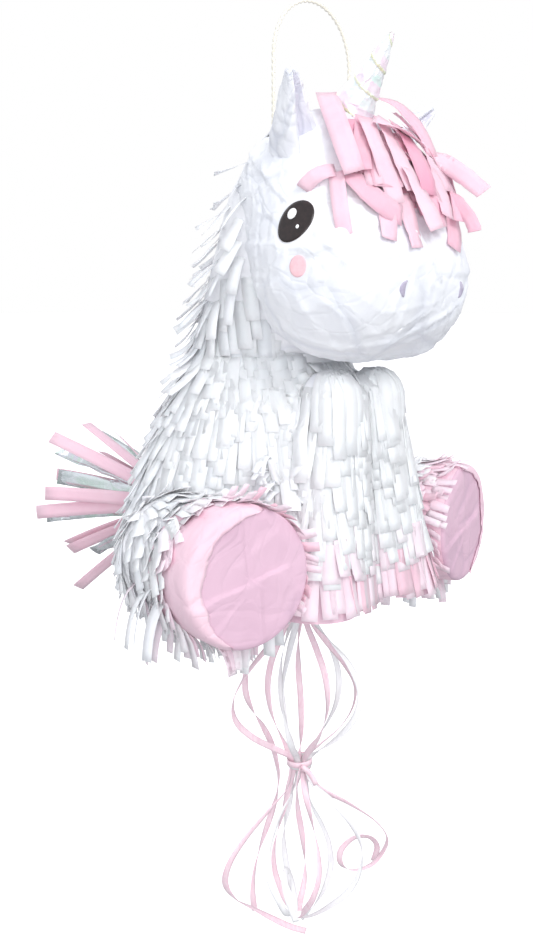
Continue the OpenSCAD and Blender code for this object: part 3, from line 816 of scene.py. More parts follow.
# ---------------------------------------- front legs
front = Strips()
for s in (-1, 1):
    LEG = outer_bvh(["front_leg_right" if s < 0 else "front_leg_left"], outside_leg)
    # height, length, tint, spacing, width, lift at the root and at the tip
    tiers = [(37, 36, 2, 7.6, 12, 1.8, 5.6), (54, 28, 3, 8.0, 12, 2.4, 4.8), (68, 36, 0, 8.0, 13, 1.2, 3.4),
             (88, 42, 0, 8.0, 13, 0.8, 2.2),
             (108, 44, 0, 8.0, 13, 0.7, 1.8), (128, 46, 0, 7.6, 12, 0.7, 1.6),
             (150, 50, 0, 7.0, 11, 0.7, 1.5)]
    for ti, (h, ln, mat, sp, wd, l0, l1) in enumerate(tiers):
        cx, cy, r = front_axis(s, h)
        n_strips = int(math.tau * r / sp)
        for k in range(n_strips):
            phi = math.tau * (k + 0.5 * (ti % 2) + rng.uniform(-0.15, 0.15)) / n_strips
            u = around(phi)
            o = P(cx, cy, h + (rng.uniform(-8, 8) if mat == 0 else rng.uniform(-2, 2)))
            hit = LEG.ray_cast(o + u * 0.06, -u)
            if hit[0] is None:
                continue
            p, n = hit[0], hit[1]
            if (HIDE.find_nearest(p)[3] < 0.0015 or near_leg(p, 0) or HEAD.find_nearest(p)[3] < 0.003
                    or (p - o).dot(u) < 0):
                continue
            if h > 140 and u.y < -0.2:
                p = P(cx + u.x * 6, cy + u.y * 6, 168)
                q = LEG.find_nearest(p)
                p, n = q[0], q[1]
            length = ln * (rng.uniform(0.88, 1.04) if mat else rng.uniform(0.72, 1.18) if h < 140
                           else rng.uniform(0.5, 1.5))
            if mat in (2, 3):
                length = min(length, height(p) - rng.uniform(-2.5, 2.0))
            m = {0: 0, 2: rng.choice([2, 2, 4]), 3: rng.choice([3, 3, 0])}[mat]
            if mat == 0 and h == 68 and rng.random() < 0.35:
                m = 5
            d = tangent_down(n, rng, 0.06)
            if h > 140:
                d = (Vector((u.x, u.y, -0.35)) - n * Vector((u.x, u.y, -0.35)).dot(n)).normalized()
            pts, sides = flow(ALL, p, n, d, length * mm, 6, l0 * mm, (l1 + rng.uniform(-0.6, 1.6)) * mm,
                              gravity=0.28, hug=0.5, curl=rng.uniform(-0.02, 0.05),
                              twist=rng.uniform(-0.2, 0.2))
            front.add(pts, sides, wd * rng.uniform(0.85, 1.1) * mm, TISSUE_THICK, m,
                      cup=rng.uniform(0.1, 0.9) * mm, end=rng.uniform(0.85, 1.05))
# strips that bridge the front legs, so that their paper meets in the middle
for h, ln, mats in [(38, 36, (2, 2, 4)), (54, 30, (3, 3, 0)), (68, 34, (0, 0, 5)), (84, 38, (0,)),
                    (100, 38, (0,)), (116, 40, (0,)),
                    (132, 42, (0,)), (146, 42, (0,)), (158, 44, (0,))]:
    for k in range(15):
        f = (k - 7 + rng.uniform(-0.35, 0.35)) / 8.2
        z = h + rng.uniform(-6, 6) * (0 if 2 in mats else 1)
        pts = []
        length = ln * (rng.uniform(0.9, 1.05) if 2 in mats else rng.uniform(0.8, 1.2))
        swing_x = rng.uniform(-1.2, 1.2)
        puff = rng.uniform(0.5, 3.0)
        for i in range(7):
            w = i / 6
            zz = z - length * w
            cx, cy, r = front_axis(1, zz)
            top = 1 - smoothstep(150, 168, zz)
            bulge = 0.36 + 0.62 * math.sqrt(max(0.0, 1 - (1 - abs(f)) ** 2))
            y = cy - r * top * bulge - 1.6 - puff * w ** 1.6 - (0 if 0 in mats else 0.8)
            pts.append(P(f * cx * 0.86 + swing_x * w, y, zz))
        tilt = 0.5 * (1 - abs(f)) * (1 if f > 0 else -1)
        side = Vector((1, -tilt, rng.uniform(-0.05, 0.05))).normalized()
        front.add(pts, [side] * 7, rng.uniform(9, 12) * mm, TISSUE_THICK, rng.choice(mats),
                  cup=rng.uniform(0.1, 0.8) * mm, end=rng.uniform(0.85, 1.05))
# a bib of long strips that falls from under the chin over the tops of the front legs
for h in (150, 158, 165, 171, 177):
    for k in range(30):
        phi = math.radians(180 + (k - 14.5) * 6.4 + rng.uniform(-2, 2))
        u = around(phi)
        hit = HIDE.ray_cast(P(0, 22, h) + u * 0.2, -u)
        if hit[0] is None or HEAD.find_nearest(hit[0])[3] < 0.002:
            continue
        p, n = hit[0], hit[1]
        d = (Vector((u.x * 0.5, u.y * 0.9, -0.55)).normalized()
             + Vector((rng.uniform(-0.1, 0.1), 0, 0))).normalized()
        length = rng.uniform(42, 74)
        pts, sides = flow(ALL, p, n, d, length * mm, 8, 0.8 * mm, rng.uniform(1.6, 3.4) * mm, gravity=0.30,
                          hug=0.45,
                          curl=rng.uniform(-0.05, 0.06), twist=rng.uniform(-0.3, 0.3))
        if any(HEAD.find_nearest(q)[3] < 0.0015 for q in pts[1:]):
            continue
        front.add(pts, sides, rng.uniform(9, 13) * mm, TISSUE_THICK, 0, cup=rng.uniform(0.1, 0.8) * mm,
                  end=rng.uniform(0.8, 1.0))
# loose curled strips at the outer edges of the chest
for s in (-1, 1):
    for k in range(11):
        p = P(s * rng.uniform(72, 80), rng.uniform(-60, -48), rng.uniform(84, 122))
        loc, n, _, _ = HIDE.find_nearest(p)
        d = Vector((s * rng.uniform(0.7, 1.0), rng.uniform(-0.5, 0.0), rng.uniform(0.0, 0.7))).normalized()
        q = loc + n * 0.8 * mm
        pts, ln = [q], rng.uniform(16, 27)
        bend = Vector((0, 0, rng.choice([-1, -1, 1]) * rng.uniform(0.1, 0.35)))
        for i in range(7):
            q = q + d * ln / 7 * mm
            d = (d + bend).normalized()
            pts.append(q)
        front.add(pts, [Vector((0.2 * s, 1, 0.1)).normalized()] * 8, rng.uniform(4, 6.5) * mm, TISSUE_THICK,
                  rng.choice([0, 1]), cup=0.4 * mm, end=0.8)

# ---------------------------------------- hind legs
hind = Strips()
for s in (-1, 1):
    name = "right" if s < 0 else "left"
    a, c0 = leg_axis[s], foot_c[s]
    e1 = Vector((0, 0, 1))
    e2 = a.cross(e1).normalized()
    LEG = outer_bvh(["hind_leg_" + name, "hind_foot_" + name],
                    lambda c, n, a=a, c0=c0: (c - c0 - a * max(0.0,
                                                               min(80 * mm, (c - c0).dot(a)))).dot(n) > 0)
    for ti, t in enumerate([30, 43, 56, 69, 82, 95, 108]):
        r = 46.0 if t < 46 else 44.0
        spacing = 7.4
        n_strips = int(math.tau * r / spacing)
        for k in range(n_strips):
            phi = math.tau * (k + 0.5 * (ti % 2) + rng.uniform(-0.25, 0.25)) / n_strips
            u = e1 * math.cos(phi) + e2 * math.sin(phi)
            o = c0 + a * min(t, 80) * mm
            d0 = u if t <= 80 else (u + a * (t - 80) / 34).normalized()
            hit = LEG.ray_cast(o + d0 * 0.09, -d0)
            if hit[0] is None:
                continue
            p, n = hit[0], hit[1]
            if HIDE.find_nearest(p)[3] < 0.0012 or in_front_leg(p,
                                                                1) or (TORSO.ray_cast(p + n * 0.0005, n,
                                                                        0.03)[0] is not None):
                continue
            under = smoothstep(0.1, -0.75, u.z)
            top = smoothstep(0.35, 0.9, u.z)
            toward = -a * (1.0 - 0.55 * under)
            d = toward + DOWN * (0.25 + 1.0 * (1 - top))
            d = d - n * d.dot(n)
            d = d.normalized()
            length = rng.uniform(18, 27)
            if t < 40:
                length = rng.uniform(10, 22) if under < 0.3 else rng.uniform(20, 38)
            room = (p - c0).dot(a) / mm - 3.5
            if d.dot(-a) > 0.15 and room / d.dot(-a) < length:
                length = max(9.0, room / d.dot(-a) + rng.uniform(-1, 2))
            lift = rng.uniform(1.8, 5.0) + 4.0 * under * rng.random()
            pinkish = t < 40
            mat = rng.choice([3, 3, 2, 5] if top > 0.2 else [3, 2, 0,
                                                             5]) if pinkish else (rng.choice([0, 0, 0, 5])
                                                                     if t < 50 else (1 if rng.random() < 0.25
                                                                             else 0))
            # painted shade: on the underside of the leg a quarter of the strips switch, mostly to the shade
            # white (material 1) and some to the blush
            if t >= 50 and u.z < -0.2 and rng.random() < 0.25:
                mat = rng.choice([1, 1, 3])
            g = 0.10 + 0.75 * under
            pts, sides = flow(LEG, p, n, d, length * mm, 4, 0.6 * mm, lift * mm, gravity=g,
                              hug=0.2 * (1 - under),
                              curl=rng.uniform(-0.1, 0.35) * (1 - under), twist=rng.uniform(-0.6, 0.6))
            if min(q.z for q in pts) < BASE - 33 * mm:
                continue
            hind.add(pts, sides, rng.uniform(6.0, 10.0) * mm, TISSUE_THICK, mat,
                     cup=rng.uniform(-0.4, 0.8) * mm, end=rng.uniform(0.8, 1.05))

# torn pink tabs round the inner and upper side of each foot, curling over its edge
for s in (-1, 1):
    a, c0 = leg_axis[s], foot_c[s]
    e1 = Vector((0, 0, 1))
    e2 = Vector((-s, 0, 0)) - a * Vector((-s, 0, 0)).dot(a)
    e2.normalize()
    for t, lo, hi in ((30, -10, 118), (21, -6, 122), (12, 0, 125)):
        for k in range(15):
            phi = math.radians(lo + (hi - lo) * (k + rng.uniform(0.2, 0.8)) / 15)
            u = e1 * math.cos(phi) + e2 * math.sin(phi)
            q = c0 + a * t * mm + u * 47.2 * mm
            if in_front_leg(q, 2) or HIDE.find_nearest(q)[3] < 0.003:
                continue
            d = (-a + u * rng.uniform(0.15, 0.5) + DOWN * 0.25 * abs(u.dot(e2))).normalized()
            pts, ln, roll = [q], rng.uniform(13, 24), rng.uniform(-0.35, 0.5)
            ln = min(ln, t + 8)
            for i in range(5):
                q = q + d * ln / 5 * mm
                d = (d + u * roll * 0.5).normalized()
                pts.append(q)
            hind.add(pts, [a.cross(u).normalized()] * 6, rng.uniform(4.5, 8.0) * mm, TISSUE_THICK,
                     rng.choice([2, 2, 3, 4]), cup=rng.uniform(-0.3, 0.7) * mm,
                     end=rng.uniform(0.7, 1.0))

# ragged ruffle where each hind leg meets the trunk, and long loose strips under the foot
for s in (-1, 1):
    a, c0 = leg_axis[s], foot_c[s]
    for k in range(22):
        phi = math.radians(rng.uniform(118, 262))
        u = Vector((0, 0, 1)) * math.cos(phi) + a.cross(Vector((0, 0, 1))).normalized() * math.sin(phi)
        t = rng.uniform(16, 74)
        p = c0 + a * t * mm + u * 45.5 * mm
        if HIDE.find_nearest(p)[3] < 0.004 or in_front_leg(p, 3):
            continue
        bottom = BASE - rng.uniform(14, 30) * mm
        if p.z - bottom < 0.010:
            continue
        out = Vector((u.x, u.y, 0)) * 0.22 + a * rng.uniform(-0.05, 0.30)
        ln = min(0.042, (p.z - bottom))
        pts = [p - u * 1.0 * mm]
        d = (DOWN * 0.7 + u * 0.5 + out).normalized()
        for q in range(6):
            pts.append(pts[-1] + d * ln / 6)
            d = (d + DOWN * 0.5 + out * 0.05).normalized()
        side0 = a.lerp(Vector((rng.uniform(-1, 1), rng.uniform(-1, 1), 0)), 0.35)
        # painted shade: two in five of these low strips take the shade white (material 1)
        hind.add(pts, [side0] * len(pts), rng.uniform(6.5, 9.5) * mm, TISSUE_THICK,
                 rng.choice([0, 1, 3, 3, 1]), cup=0.5 * mm, end=0.95)

TISSUES = [WHITE, WHITE_SHADE, PINK_PALE, tissue("tissue_blush", (0.93, 0.76, 0.83), (0.965, 0.86, 0.91)),
           PINK_LIGHT,
           tissue("tissue_hint", (0.93, 0.87, 0.90), (0.97, 0.93, 0.95))]
fringe.build("body_fringe_strips", TISSUES, "pinata", "tissue_white", "body_fringe")
flap.build("flap_fringe_strips", TISSUES, "fill_flap", "tissue_white", "flap_fringe")
front.build("front_leg_strips", TISSUES, "pinata", "tissue_white")
hind.build("hind_leg_strips", TISSUES, "pinata", "tissue_white")

# ---------------------------------------- soles: wrapped discs with folds and a torn lap
SIDE_PAPER = wrap("foot_side_paper", (0.84, 0.565, 0.66), (0.90, 0.66, 0.745), 0.65, 0.6, 26, 0.35)


def fold(x, y, ax, ay, bx, by, amp, width):
    """Height of a straight fold from a to b: a step on one side that fades out."""
    dx, dy = bx - ax, by - ay
    ln = math.hypot(dx, dy)
    along = ((x - ax) * dx + (y - ay) * dy) / ln
    if along < -4 or along > ln + 4:
        return 0.0
    across = ((x - ax) * dy - (y - ay) * dx) / ln + 0.8 * noise.noise(Vector((along * 0.06, ax, ay)))
    ends = smoothstep(-4, 4, along) * smoothstep(ln + 4, ln - 4, along)
    if across < -0.9:
        return 0.0
    return amp * ends * smoothstep(-0.9, 0.9, across) * math.exp(-max(0.0, across) / width)


FOLDS = [(-44, -14, 30, 6, 1.9, 14), (-6, 44, -2, -4, 1.2, 9), (8, -2, 11, -44, 1.4, 8),
         (20, 4, 44, -14, 1.1, 8),
         (-40, 20, -12, 40, 1.1, 7), (-30, -34, -6, -12, 1.0, 7), (10, 42, 40, 16, 1.1, 8),
         (-14, 10, 22, 30, 0.9, 7)]
for s in (-1, 1):
    name = "right" if s < 0 else "left"
    a, c0 = leg_axis[s], foot_c[s]
    up = Vector((0, 0, 1))
    x1 = a.cross(up).normalized()                 # to the viewer's right when looking at the sole
    R, seg = 46.4, 128
    prof = [(0.0, -2.9)] + [(R * f, -2.9) for f in (0.07, 0.14, 0.21, 0.28, 0.35, 0.42, 0.49, 0.56, 0.63,
                                                    0.70, 0.77, 0.83, 0.88, 0.92)]
    prof += [(R - 2.4 + 2.4 * math.sin(q), -2.9 + 2.4 * (1 - math.cos(q))) for q in (0.35, 0.8, 1.2, 1.57)]
    prof += [(R + 0.2, t) for t in (3, 7, 11, 16, 21, 26, 31, 36, 41, 45)]
    vs, fs, mi = [], [], []

    def place(x, y, t):
        return c0 + x1 * x * mm + up * y * mm + a * t * mm

    def height(x, y):
        h = sum(fold(x, y, *f) for f in FOLDS)
        q = Vector((x * 0.02, y * 0.02, s * 3.0))
        return h + 0.5 * noise.noise(q) + 0.22 * noise.noise(q * 4) + 0.25 * max(0,
                1 - 3 * abs(noise.noise(q * 2.2 + Vector((4, 4, 4))))) ** 2
    ring0 = []
    for r, t in prof[1:]:
        ring = []
        for k in range(seg):
            th = math.tau * k / seg
            x, y = r * math.cos(th), r * math.sin(th)
            if t < 0:
                ring.append(place(x, y, t - height(x, y) * smoothstep(R, R - 3, r)))
            else:
                g = 0.5 * noise.noise(Vector((math.cos(th) * 2, math.sin(th) * 2, t * 0.07 + s))) + \
                    0.5 * max(0, 1 - 3 * abs(noise.noise(Vector((math.cos(th) * 3, math.sin(th) * 3,
                                                                 t * 0.03 + 5 * s))))) ** 2
                ring.append(place(x * (1 + g / R), y * (1 + g / R), t))
        ring0.append(ring)
    vs.append(place(0, 0, -2.9 - height(0, 0)))
    for ring in ring0:
        vs += ring
    for k in range(seg):
        fs.append((0, 1 + (k + 1) % seg, 1 + k))
        mi.append(0)
    for i in range(len(ring0) - 1):
        b0, b1 = 1 + i * seg, 1 + (i + 1) * seg
        for k in range(seg):
            k2 = (k + 1) % seg
            fs.append((b0 + k, b0 + k2, b1 + k2, b1 + k))
            mi.append(0 if prof[i + 2][1] < 0.2 else 1)
    # back wall, so that the shell is closed
    b0 = 1 + (len(ring0) - 1) * seg
    off = len(vs)
    vs += [place(42.5 * math.cos(math.tau * k / seg), 42.5 * math.sin(math.tau * k / seg), 45)
           for k in range(seg)]
    vs += [place(42.5 * math.cos(math.tau * k / seg), 42.5 * math.sin(math.tau * k / seg), -0.6)
           for k in range(seg)]
    vs.append(place(0, 0, -0.6))
    for k in range(seg):
        k2 = (k + 1) % seg
        fs += [(b0 + k, b0 + k2, off + k2, off + k), (off + k, off + k2, off + seg + k2, off + seg + k),
               (off + seg + k, off + seg + k2, off + 2 * seg)]
        mi += [1, 1, 1]
    attach(new_object("sole_wrap_" + name, vs, fs, [SOLE, SIDE_PAPER], mi, closed=True), "pinata",
           "sole_lilac",
           "sole_" + name, "hind_foot_" + name)
    # torn paper of the side that laps over the rim: outer side of the foot
    vs, fs = [], []
    mid_deg = 165 if s < 0 else 15
    span, cols = 88, 60
    rows_l = 9
    for layer in (0, 1):
        for i in range(cols + 1):
            f = i / cols
            th = math.radians(mid_deg - span + 2 * span * f)
            edge = math.sin(math.pi * min(1, max(0, f))) ** 0.5
            jag = 8.5 + 3.8 * noise.noise(Vector((f * 5, s, 0))) + 2.0 * noise.noise(Vector((f * 17, s,
                    3))) + 0.8 * noise.noise(Vector((f * 60, s, 8)))
            inner = R - edge * max(1.5, jag + 2)
            path = [(R + 1.0, 26 - 6 * noise.noise(Vector((f * 9, s, 11)))), (R + 1.1, 16), (R + 1.1, 8),
                    (R + 1.0, 2), (R + 0.1, -1.6), (R - 1.6, -3.5),
                    (R - 1.6 - (R - 1.6 - inner) * 0.35, -3.9), (R - 1.6 - (R - 1.6 - inner) * 0.7, -4.05),
                    (inner, -4.1)]
            for j, (r, t) in enumerate(path):
                x, y = r * math.cos(th), r * math.sin(th)
                hh = height(x, y) if t < -3 else 0
                puff = 0.5 * noise.noise(Vector((f * 12, j * 0.7, s * 2)))
                d = 0.0 if layer == 0 else 0.45
                rr = r - (d if t > -2 else 0)
                vs.append(place(rr * math.cos(th), rr * math.sin(th),
                                t - hh + (d if t <= -2 else 0) - (abs(puff) if j > 5 else 0)))
    per = (cols + 1) * rows_l
    for i in range(cols):
        for j in range(rows_l - 1):
            q = i * rows_l + j
            fs.append((q, q + rows_l, q + rows_l + 1, q + 1))
            fs.append((per + q, per + q + 1, per + q + rows_l + 1, per + q + rows_l))
    for i in range(cols):
        q = i * rows_l
        fs.append((q, per + q, per + q + rows_l, q + rows_l))
        q = i * rows_l + rows_l - 1
        fs.append((q, q + rows_l, per + q + rows_l, per + q))
    for j in range(rows_l - 1):
        fs.append((j, j + 1, per + j + 1, per + j))
        q = cols * rows_l + j
        fs.append((q, per + q, per + q + 1, q + 1))
    attach(new_object("sole_lap_" + name, vs, fs, [SIDE_PAPER], closed=True), "pinata", "tissue_pale_pink")

# ---------------------------------------- ears


def ear_frame(s):
    return Matrix.Translation(P(s * 47.5, -46.5, 319)) @ Matrix.Rotation(math.radians(28), 4, "X") @ \
        Matrix.Rotation(math.radians(42 if s > 0 else -33), 4, "Y")


for s in (-1, 1):
    name = "right" if s < 0 else "left"
    M = ear_frame(s)
    seg, lv = 64, 44
    vs, mi = [], []
    for i in range(lv + 1):
        f = i / lv
        z = -7 + 62 * f
        taper = 1 - max(0.0, z) / 58
        r = 2.4 + 15.2 * (max(0.0, taper) ** 0.92 if z > 0 else 1.0)
        if f > 0.95:
            r *= math.sqrt(max(0.0, 1 - ((f - 0.95) / 0.05) ** 2)) * 0.9 + 0.1
        for k in range(seg):
            th = math.tau * k / seg                       # 0 faces the unicorn's front
            d = (th + math.pi) % math.tau - math.pi
            d -= -s * 0.28
            cup = math.exp(-(d / 0.62) ** 4)
            deep = 1.25 * cup * smoothstep(1.02, 0.90, f) * smoothstep(-0.02, 0.06, f)
            rr = r * (1 - deep * 0.92) if deep else r
            q = Vector((math.cos(th) * 1.2, math.sin(th) * 1.2, z * 0.05 + 3 * s))
            crease = max(0.0, 1 - 4 * abs(noise.noise(Vector((th * 0.9 + s, z * 0.035, 2.0))))) ** 2
            crease2 = max(0.0, 1 - 4 * abs(noise.noise(Vector((th * 1.5, z * 0.09 + th * 0.4,
                                                               7.0 + s))))) ** 2
            rr += (0.9 * noise.noise(q) + 1.0 * crease - 0.7 * crease2) * min(1.0, r / 8)
            x, y = math.sin(th) * rr, -math.cos(th) * rr
            if cup > 0.5:
                x *= 0.94
            bend = 1.6 * math.sin(f * 7.0 + s) * f
            vs.append(M @ Vector(((x + bend * s * 0.6) * mm, y * mm, z * mm)))
    for i in range(lv):
        for k in range(seg):
            d = (math.tau * (k + 0.5) / seg + math.pi) % math.tau - math.pi + s * 0.28
            mi.append(1 if abs(d) < 0.66 and i < lv - 3 else 0)
    attach(new_object("ear_wrap_" + name, vs, tube_faces(lv, seg), [EAR_WRAP, EAR_IN], mi + [0, 0],
                      closed=True),
           "pinata", "wrapping_paper", "ear_" + name, "ear_inner_" + name)

# ---------------------------------------- horn: one long foil band wound round a cone
HORN_PINK = foil("horn_pink", [(0.30, (0.93, 0.74, 0.85)), (0.5, (0.95, 0.86, 0.92)),
                               (0.7, (0.88, 0.78, 0.92))], 40, 0.3, 0.3)
HORN_MINT = foil("horn_mint", [(0.30, (0.72, 0.90, 0.84)), (0.5, (0.93, 0.95, 0.96)),
                               (0.7, (0.80, 0.90, 0.93))], 40, 0.3, 0.3)
HORN_EDGE = foil("horn_edge", [(0.30, (0.80, 0.86, 0.46)), (0.5, (0.93, 0.92, 0.72)),
                               (0.7, (0.72, 0.86, 0.62))], 60, 0.3, 0.3)
HM = Matrix.Translation(P(0, -55, 342)) @ Matrix.Rotation(math.radians(36), 4, "X")
vs, mi = [], []
seg, lv = 72, 90
for i in range(lv + 1):
    f = i / lv
    z = -4 + 63 * f
    r = 14.2 * (1 - max(0.0, z) / 61.5) + 1.2
    for k in range(seg):
        th = math.tau * k / seg
        ph = (f * 3.6 + k / seg) % 1.0
        step = 0.9 * (1 - ph) * smoothstep(0, 0.06, ph)
        q = Vector((math.cos(th), math.sin(th), z * 0.06))
        cr = 0.7 * max(0.0, 1 - 4 * abs(noise.noise(q * 1.7))) ** 2 + 0.5 * noise.noise(q * 3)
        rr = r + (step + cr) * min(1.0, r / 6)
        if f > 0.97:
            rr *= 0.75 + 0.5 * noise.noise(Vector((k * 0.7, 0, 1)))
        vs.append(HM @ Vector((rr * math.cos(th) * mm, rr * math.sin(th) * mm,
                               (z + (1.5 * noise.noise(Vector((k * 0.5, 2, 1))) if i == lv else 0)) * mm)))
for i in range(lv):
    for k in range(seg):
        ph = ((i + 0.5) / lv * 3.6 + (k + 0.5) / seg) % 1.0
        mi.append(2 if ph < 0.12 else (0 if ph < 0.5 else 1))
attach(new_object("horn_foil", vs, tube_faces(lv, seg), [HORN_PINK, HORN_MINT, HORN_EDGE], mi + [0, 0],
                  closed=True),
       "pinata", "pearl_foil", "horn_cone")

collar = Strips()
crng = random.Random(8)
for k in range(20):
    th = math.tau * (k + crng.uniform(-0.3, 0.3)) / 20
    u = (HM.to_3x3() @ Vector((math.cos(th), math.sin(th), 0))).normalized()
    w = (HM.to_3x3() @ Vector((0, 0, 1))).normalized()
    p = HM @ Vector((15.6 * mm * math.cos(th), 15.6 * mm * math.sin(th), 3.5 * mm))
    pts = [p, p + u * 2 * mm + w * 0.6 * mm, p + u * 4.5 * mm - w * 0.4 * mm,
           p + u * 7 * mm - w * crng.uniform(1.5, 4) * mm]
    side = u.cross(w)
    collar.add(pts, [side] * 4, crng.uniform(5, 8) * mm, 0.25 * mm, crng.choice([0, 0, 1, 2]), cup=0.5 * mm)
collar.build("horn_ruffle", [PINK_PALE, WHITE_SHADE, PINK_LIGHT], "pinata", "tissue_pale_pink", "horn_collar")

# ---------------------------------------- mane: flat tissue bands over the forehead
mane = Strips()


def band(p0, p1, p2, width, mat, seed, roll=0.0, facing=None):
    a, b, c = P(*p0), P(*p1), P(*p2)
    rr = random.Random(seed)
    n, pts, sides = 12, [], []
    ctrl = b * 2 - (a + c) / 2
    for i in range(n + 1):
        t = i / n
        q = a * (1 - t) ** 2 + ctrl * 2 * t * (1 - t) + c * t * t
        loc, nrm, _, dist = HEAD.find_nearest(q)
        sd = (q - loc).dot(nrm)
        if sd < 1.4 * mm:
            q = q + nrm * (1.4 * mm - sd)
        q += nrm * (0.5 * math.sin(t * 9 + rr.uniform(0, 6)) * mm * 0.6)
        pts.append(q)
    for i in range(n + 1):
        t = i / n
        tan = (pts[min(i + 1, n)] - pts[max(i - 1, 0)]).normalized()
        nrm = HEAD.find_nearest(pts[i])[1]
        side = nrm.cross(tan)
        if facing is not None:
            side = side.normalized().lerp(Vector(facing).cross(tan).normalized(), smoothstep(0.0, 0.5, t))
        side = Matrix.Rotation(roll * (0.35 + 0.65 * t) + 0.18 * math.sin(t * 5 + seed), 3,
                               tan) @ side.normalized()
        sides.append(side)
    mane.add(pts, sides, width * mm, 0.3 * mm, mat, cup=rr.uniform(0.1, 0.8) * mm, across=4)


LIGHT, MIDDLE, DEEP = 0, 1, 2
frng = random.Random(31)
for count, r0, tones, l0, l1, ln0, ln1 in ((24, 14, [MIDDLE, DEEP, DEEP], 1.6, 3.0, 46, 66),
                                           (22, 13, [MIDDLE, MIDDLE, DEEP, LIGHT], 3.2, 6.5, 36, 60)):
    for k in range(count):
        ang = math.radians(-62 + 190 * (k + frng.uniform(-0.3, 0.3)) / (count - 1))       # 0 points forward
        root = P(r0 * math.sin(ang) * 1.5, -72 - r0 * math.cos(ang) * 1.1, 0)
        hit = HEAD.ray_cast(Vector((root.x, root.y, P(0, 0, 400).z)), DOWN)
        if hit[0] is None:
            continue
        p, n = hit[0], hit[1]
        d = Vector((math.sin(ang) * 1.0, -math.cos(ang) - 0.35, -0.25))
        d = (d - n * d.dot(n)).normalized()
        ln = frng.uniform(ln0, ln1) * (0.55 + 0.45 * max(0.0, math.cos(ang * 0.6)))
        pts, sides = flow(HEAD, p, n, d, ln * mm, 9, l0 * mm, (l1 + frng.uniform(0, 2.5)) * mm, gravity=0.16,
                          hug=0.5,
                          curl=frng.uniform(-0.05, 0.15), twist=frng.uniform(-0.5, 0.5))
        mane.add(pts, sides, frng.uniform(10, 13.5) * mm, 0.3 * mm, frng.choice(tones),
                 cup=frng.uniform(0, 0.8) * mm, across=4, end=1.0)

FRONT = (-0.7, -0.7, 0.15)                    # bands that stick out forward turn their flat side this way
bands = [
    ((-12.6, -43.8, 356), (-43.6, -80.9, 325), (-50.5, -99.3, 296), 14.5, LIGHT, 0.15),
    ((-51.8, -85.2, 298), (-63.5, -79.9, 295), (-67.5, -70.8, 286), 10.0, LIGHT, -0.5),
    ((-53.3, -86.4, 297), (-63.1, -97.9, 275), (-65.6, -104.2, 256), 10.5, LIGHT, 0.3),
    ((-25.5, -77.0, 334), (-31.7, -90.4, 312), (-34.3, -100.1, 296), 12.0, DEEP, -0.2),
    ((-19.7, -84.1, 334), (-28.7, -104.9, 305), (-32.2, -119.2, 277), 12.5, LIGHT, 0.1),
    ((-47.4, -93.2, 296), (-43.7, -112.0, 279), (-27.8, -120.9, 269), 14.0, MIDDLE, 0.2),
    ((-33.9, -108.8, 283), (-38.9, -117.2, 269), (-43.7, -122.7, 254), 12.0, LIGHT, 0.0),
    ((-20.7, -114.4, 284), (-21.3, -122.6, 266), (-21.1, -128.3, 249), 12.0, LIGHT, 0.2),
    ((-8.2, -97.2, 320), (7.4, -106.8, 307), (35.7, -110.7, 291), 13.0, DEEP, -0.3),
    ((-14.9, -88.1, 334), (-2.3, -98.9, 328), (19.4, -99.9, 321), 13.5, LIGHT, -0.5),
    ((20.8, -86.9, 333), (22.0, -106.0, 311), (22.8, -118.4, 288), 13.5, LIGHT, 0.1),
    ((-12.1, -112.8, 301), (-11.3, -125.6, 280), (-8.2, -134.9, 261), 14.0, LIGHT, 0.1),
    ((8.9, -66.0, 353), (25.0, -84.0, 343), (31.0, -103.0, 313), 12.5, MIDDLE, 0.5),
    ((31.1, -94.6, 320), (41.4, -115.9, 303), (44.5, -136.0, 288), 12.5, LIGHT, 0.1, FRONT),
    ((36.6, -106.0, 294), (34.6, -126.6, 276), (27.0, -140.5, 261), 9.0, MIDDLE, 0.5, FRONT),
    ((38.6, -102.3, 306), (38.0, -114.9, 288), (28.8, -129.2, 268), 12.0, MIDDLE, 0.4),
    ((-14.5, -78.2, 337), (-30.4, -88.8, 317), (-42.6, -94.9, 297), 12.5, MIDDLE, 0.0),
    ((34.0, -96.2, 318), (36.1, -112.6, 286), (20.3, -129.1, 250), 13.0, MIDDLE, 0.0),
    ((2.0, -104.0, 312), (4.0, -120.0, 288), (3.0, -131.0, 264), 13.0, MIDDLE, -0.1),
    ((10.0, -100.0, 318), (14.0, -118.0, 292), (10.0, -130.0, 270), 12.5, LIGHT, 0.15),
    ((30.0, -70.0, 345), (50.0, -84.0, 322), (60.0, -92.0, 296), 13.0, LIGHT, -0.1),
    ((24.0, -80.0, 340), (46.0, -98.0, 312), (56.0, -106.0, 286), 13.0, MIDDLE, 0.1),
    ((44.0, -84.0, 318), (60.0, -88.0, 296), (64.0, -94.0, 276), 11.0, LIGHT, 0.2),
    ((-4.0, -84.0, 336), (-12.0, -104.0, 312), (-14.0, -120.0, 286), 13.0, LIGHT, 0.0),
    ((6.0, -88.0, 334), (2.0, -110.0, 310), (-2.0, -124.0, 284), 12.5, DEEP, 0.2),
]
for i, (p0, p1, p2, w, tone, roll, *facing) in enumerate(bands):
    band(p0, p1, p2, w, tone, 100 + i, roll, facing[0] if facing else None)
mane.build("mane_bands", [PINK_LIGHT, PINK, PINK_DEEP], "pinata", "tissue_pink", "forelock")

# ---------------------------------------- tail: fan of tissue and foil bands
tail = Strips()
trng = random.Random(64)
ROOT = P(0, 124, 47)


